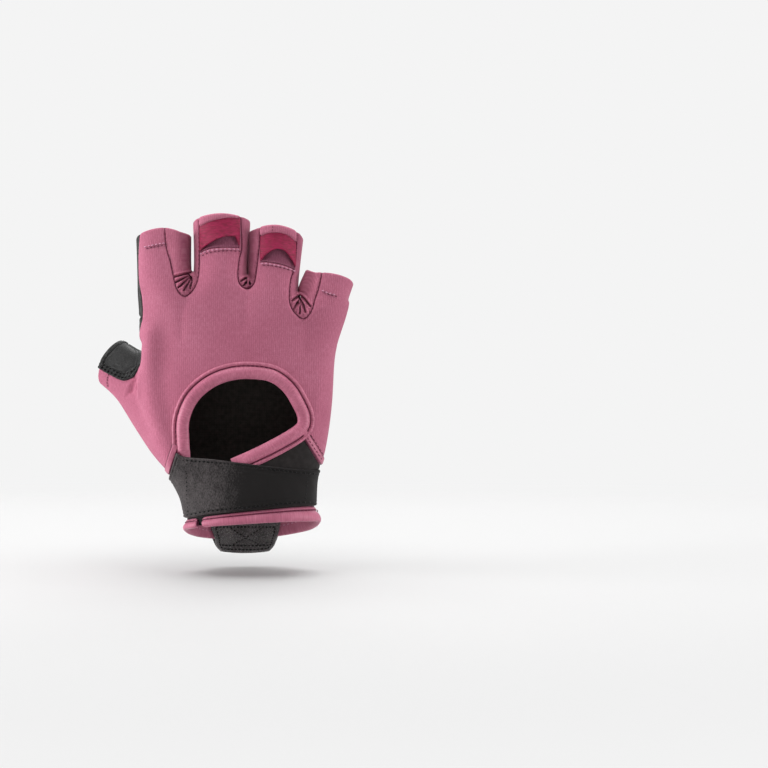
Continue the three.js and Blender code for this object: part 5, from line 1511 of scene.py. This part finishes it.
patch_edge = smooth(patch_outline[PATCH_SEWN], 8)
patch_rows = []
for inset in PATCH_ROWS:
    path, facing = touch_line(evenly(moved_aside(patch_edge, -inset), 1.8, 0.4, 0.4), -1)
    path, facing = path[path[:, 1] > 4], facing[path[:, 1] > 4]
    patch_rows.append((path + facing * (PATCH_OVER + PATCH_THICK - 0.15), facing))
stitches("thumb_patch_thread", "thumb_patch", patch_rows, black_thread, 0.5, 0.62)


# Floor near the glove, paper beyond it, then the lights and the camera
def floor_height(y):
    bent = np.sqrt((y - SLOPE_END) ** 2 + SLOPE_ROUND**2)
    return FLOOR_Z + FLOOR_SLOPE * ((y + SLOPE_END - bent) / 2 + 12)


def round_sheet(name, profile, material):
    """A sheet that follows a profile of reach and rise all round the glove."""
    turn = np.linspace(0, 2 * np.pi, SHEET_AROUND, endpoint=False)
    reach, rise = np.array(profile).T[:, :, None]
    x, y = reach * np.cos(turn), reach * np.sin(turn)
    verts = np.stack([x, y, floor_height(y) + rise], 2).reshape(-1, 3)
    sheet = mesh_object(name, verts, [bands(len(profile), SHEET_AROUND)[:, ::-1]], [material])
    return sheet


def backdrop():
    glow, tone, black = ((level, level, level, 1) for level in (PAPER_GLOW, FLOOR_TONE, 0))
    ground = Nodes("studio_floor", 0.9, specular=0.0)
    reach = ground.node("ShaderNodeVectorMath", operation="LENGTH", Vector=ground.coords()).outputs["Value"]
    fade = ground.fade(reach, *FLOOR_FADE, 0.0, 1.0)
    ground.set("Base Color", ground.mix(fade, tone, black))
    ground.set("Emission Color", glow)
    ground.set("Emission Strength", fade)
    round_sheet("floor", [(r, 0.0) for r in np.linspace(0.01, FLOOR_RADIUS, 50)], ground.material)

    paper = Nodes("studio_paper", 0.9, specular=0.0)
    paper.set("Base Color", black)
    paper.set("Emission Color", glow)
    paper.set("Emission Strength", 1.0)
    profile = [(r, 0.0) for r in np.linspace(FLOOR_RADIUS, PAPER_RADIUS, 40)]
    profile += [(PAPER_RADIUS + PAPER_BEND * np.sin(a), PAPER_BEND * (1 - np.cos(a)))
                for a in np.linspace(0, np.pi / 2, 25)[1:]]
    profile += [(PAPER_RADIUS + PAPER_BEND, z) for z in np.linspace(PAPER_BEND, PAPER_TOP, 20)[1:]]
    sheet = round_sheet("paper", profile, paper.material)
    sheet.visible_diffuse = False
    sheet.visible_glossy = False


def area_light(name, at, aim, size, watts):
    light = bpy.data.lights.new(name, "AREA")
    light.shape = "RECTANGLE"
    light.size, light.size_y = size
    light.energy = watts
    lamp = bpy.data.objects.new(name, light)
    lamp.location = Vector(at) * MM
    lamp.rotation_euler = (Vector(aim) - Vector(at)).to_track_quat("-Z", "Y").to_euler()
    lamp.visible_camera = False
    bpy.context.scene.collection.objects.link(lamp)


def camera():
    data = bpy.data.cameras.new("camera")
    data.lens = CAMERA_LENS
    data.sensor_width = 36
    data.clip_end = 20
    eye = bpy.data.objects.new("camera", data)
    eye.location = (SCENE_X * MM, -CAMERA_AWAY * MM, SCENE_Z * MM)
    eye.rotation_euler = (np.pi / 2, 0, 0)
    bpy.context.scene.collection.objects.link(eye)
    bpy.context.scene.camera = eye


middle = (SCENE_X, 0, SCENE_Z)
lights = table(
    "name at aim size watts",
    ("key", (-1500, -200, 110), middle, (0.8, 0.7), 35),
    ("fill", (1500, -260, 110), middle, (0.8, 0.7), 16.5),
    ("front", (100, -1700, 500), middle, (1.0, 1.0), 2),
    ("rear", (200, 1500, 1000), middle, (1.4, 1.0), 10),
    ("top", (0, -20, 1300), (0, -20, 0), (1.7, 1.7), 29),
)
backdrop()
camera()
for light in lights:
    area_light(**light)
world = bpy.data.worlds.new("studio")
world.use_nodes = True
world.node_tree.nodes["Background"].inputs["Color"].default_value = (1, 1, 1, 1)
world.node_tree.nodes["Background"].inputs["Strength"].default_value = WORLD_GLOW
bpy.context.scene.world = world
bpy.context.scene.view_settings.view_transform = "Standard"
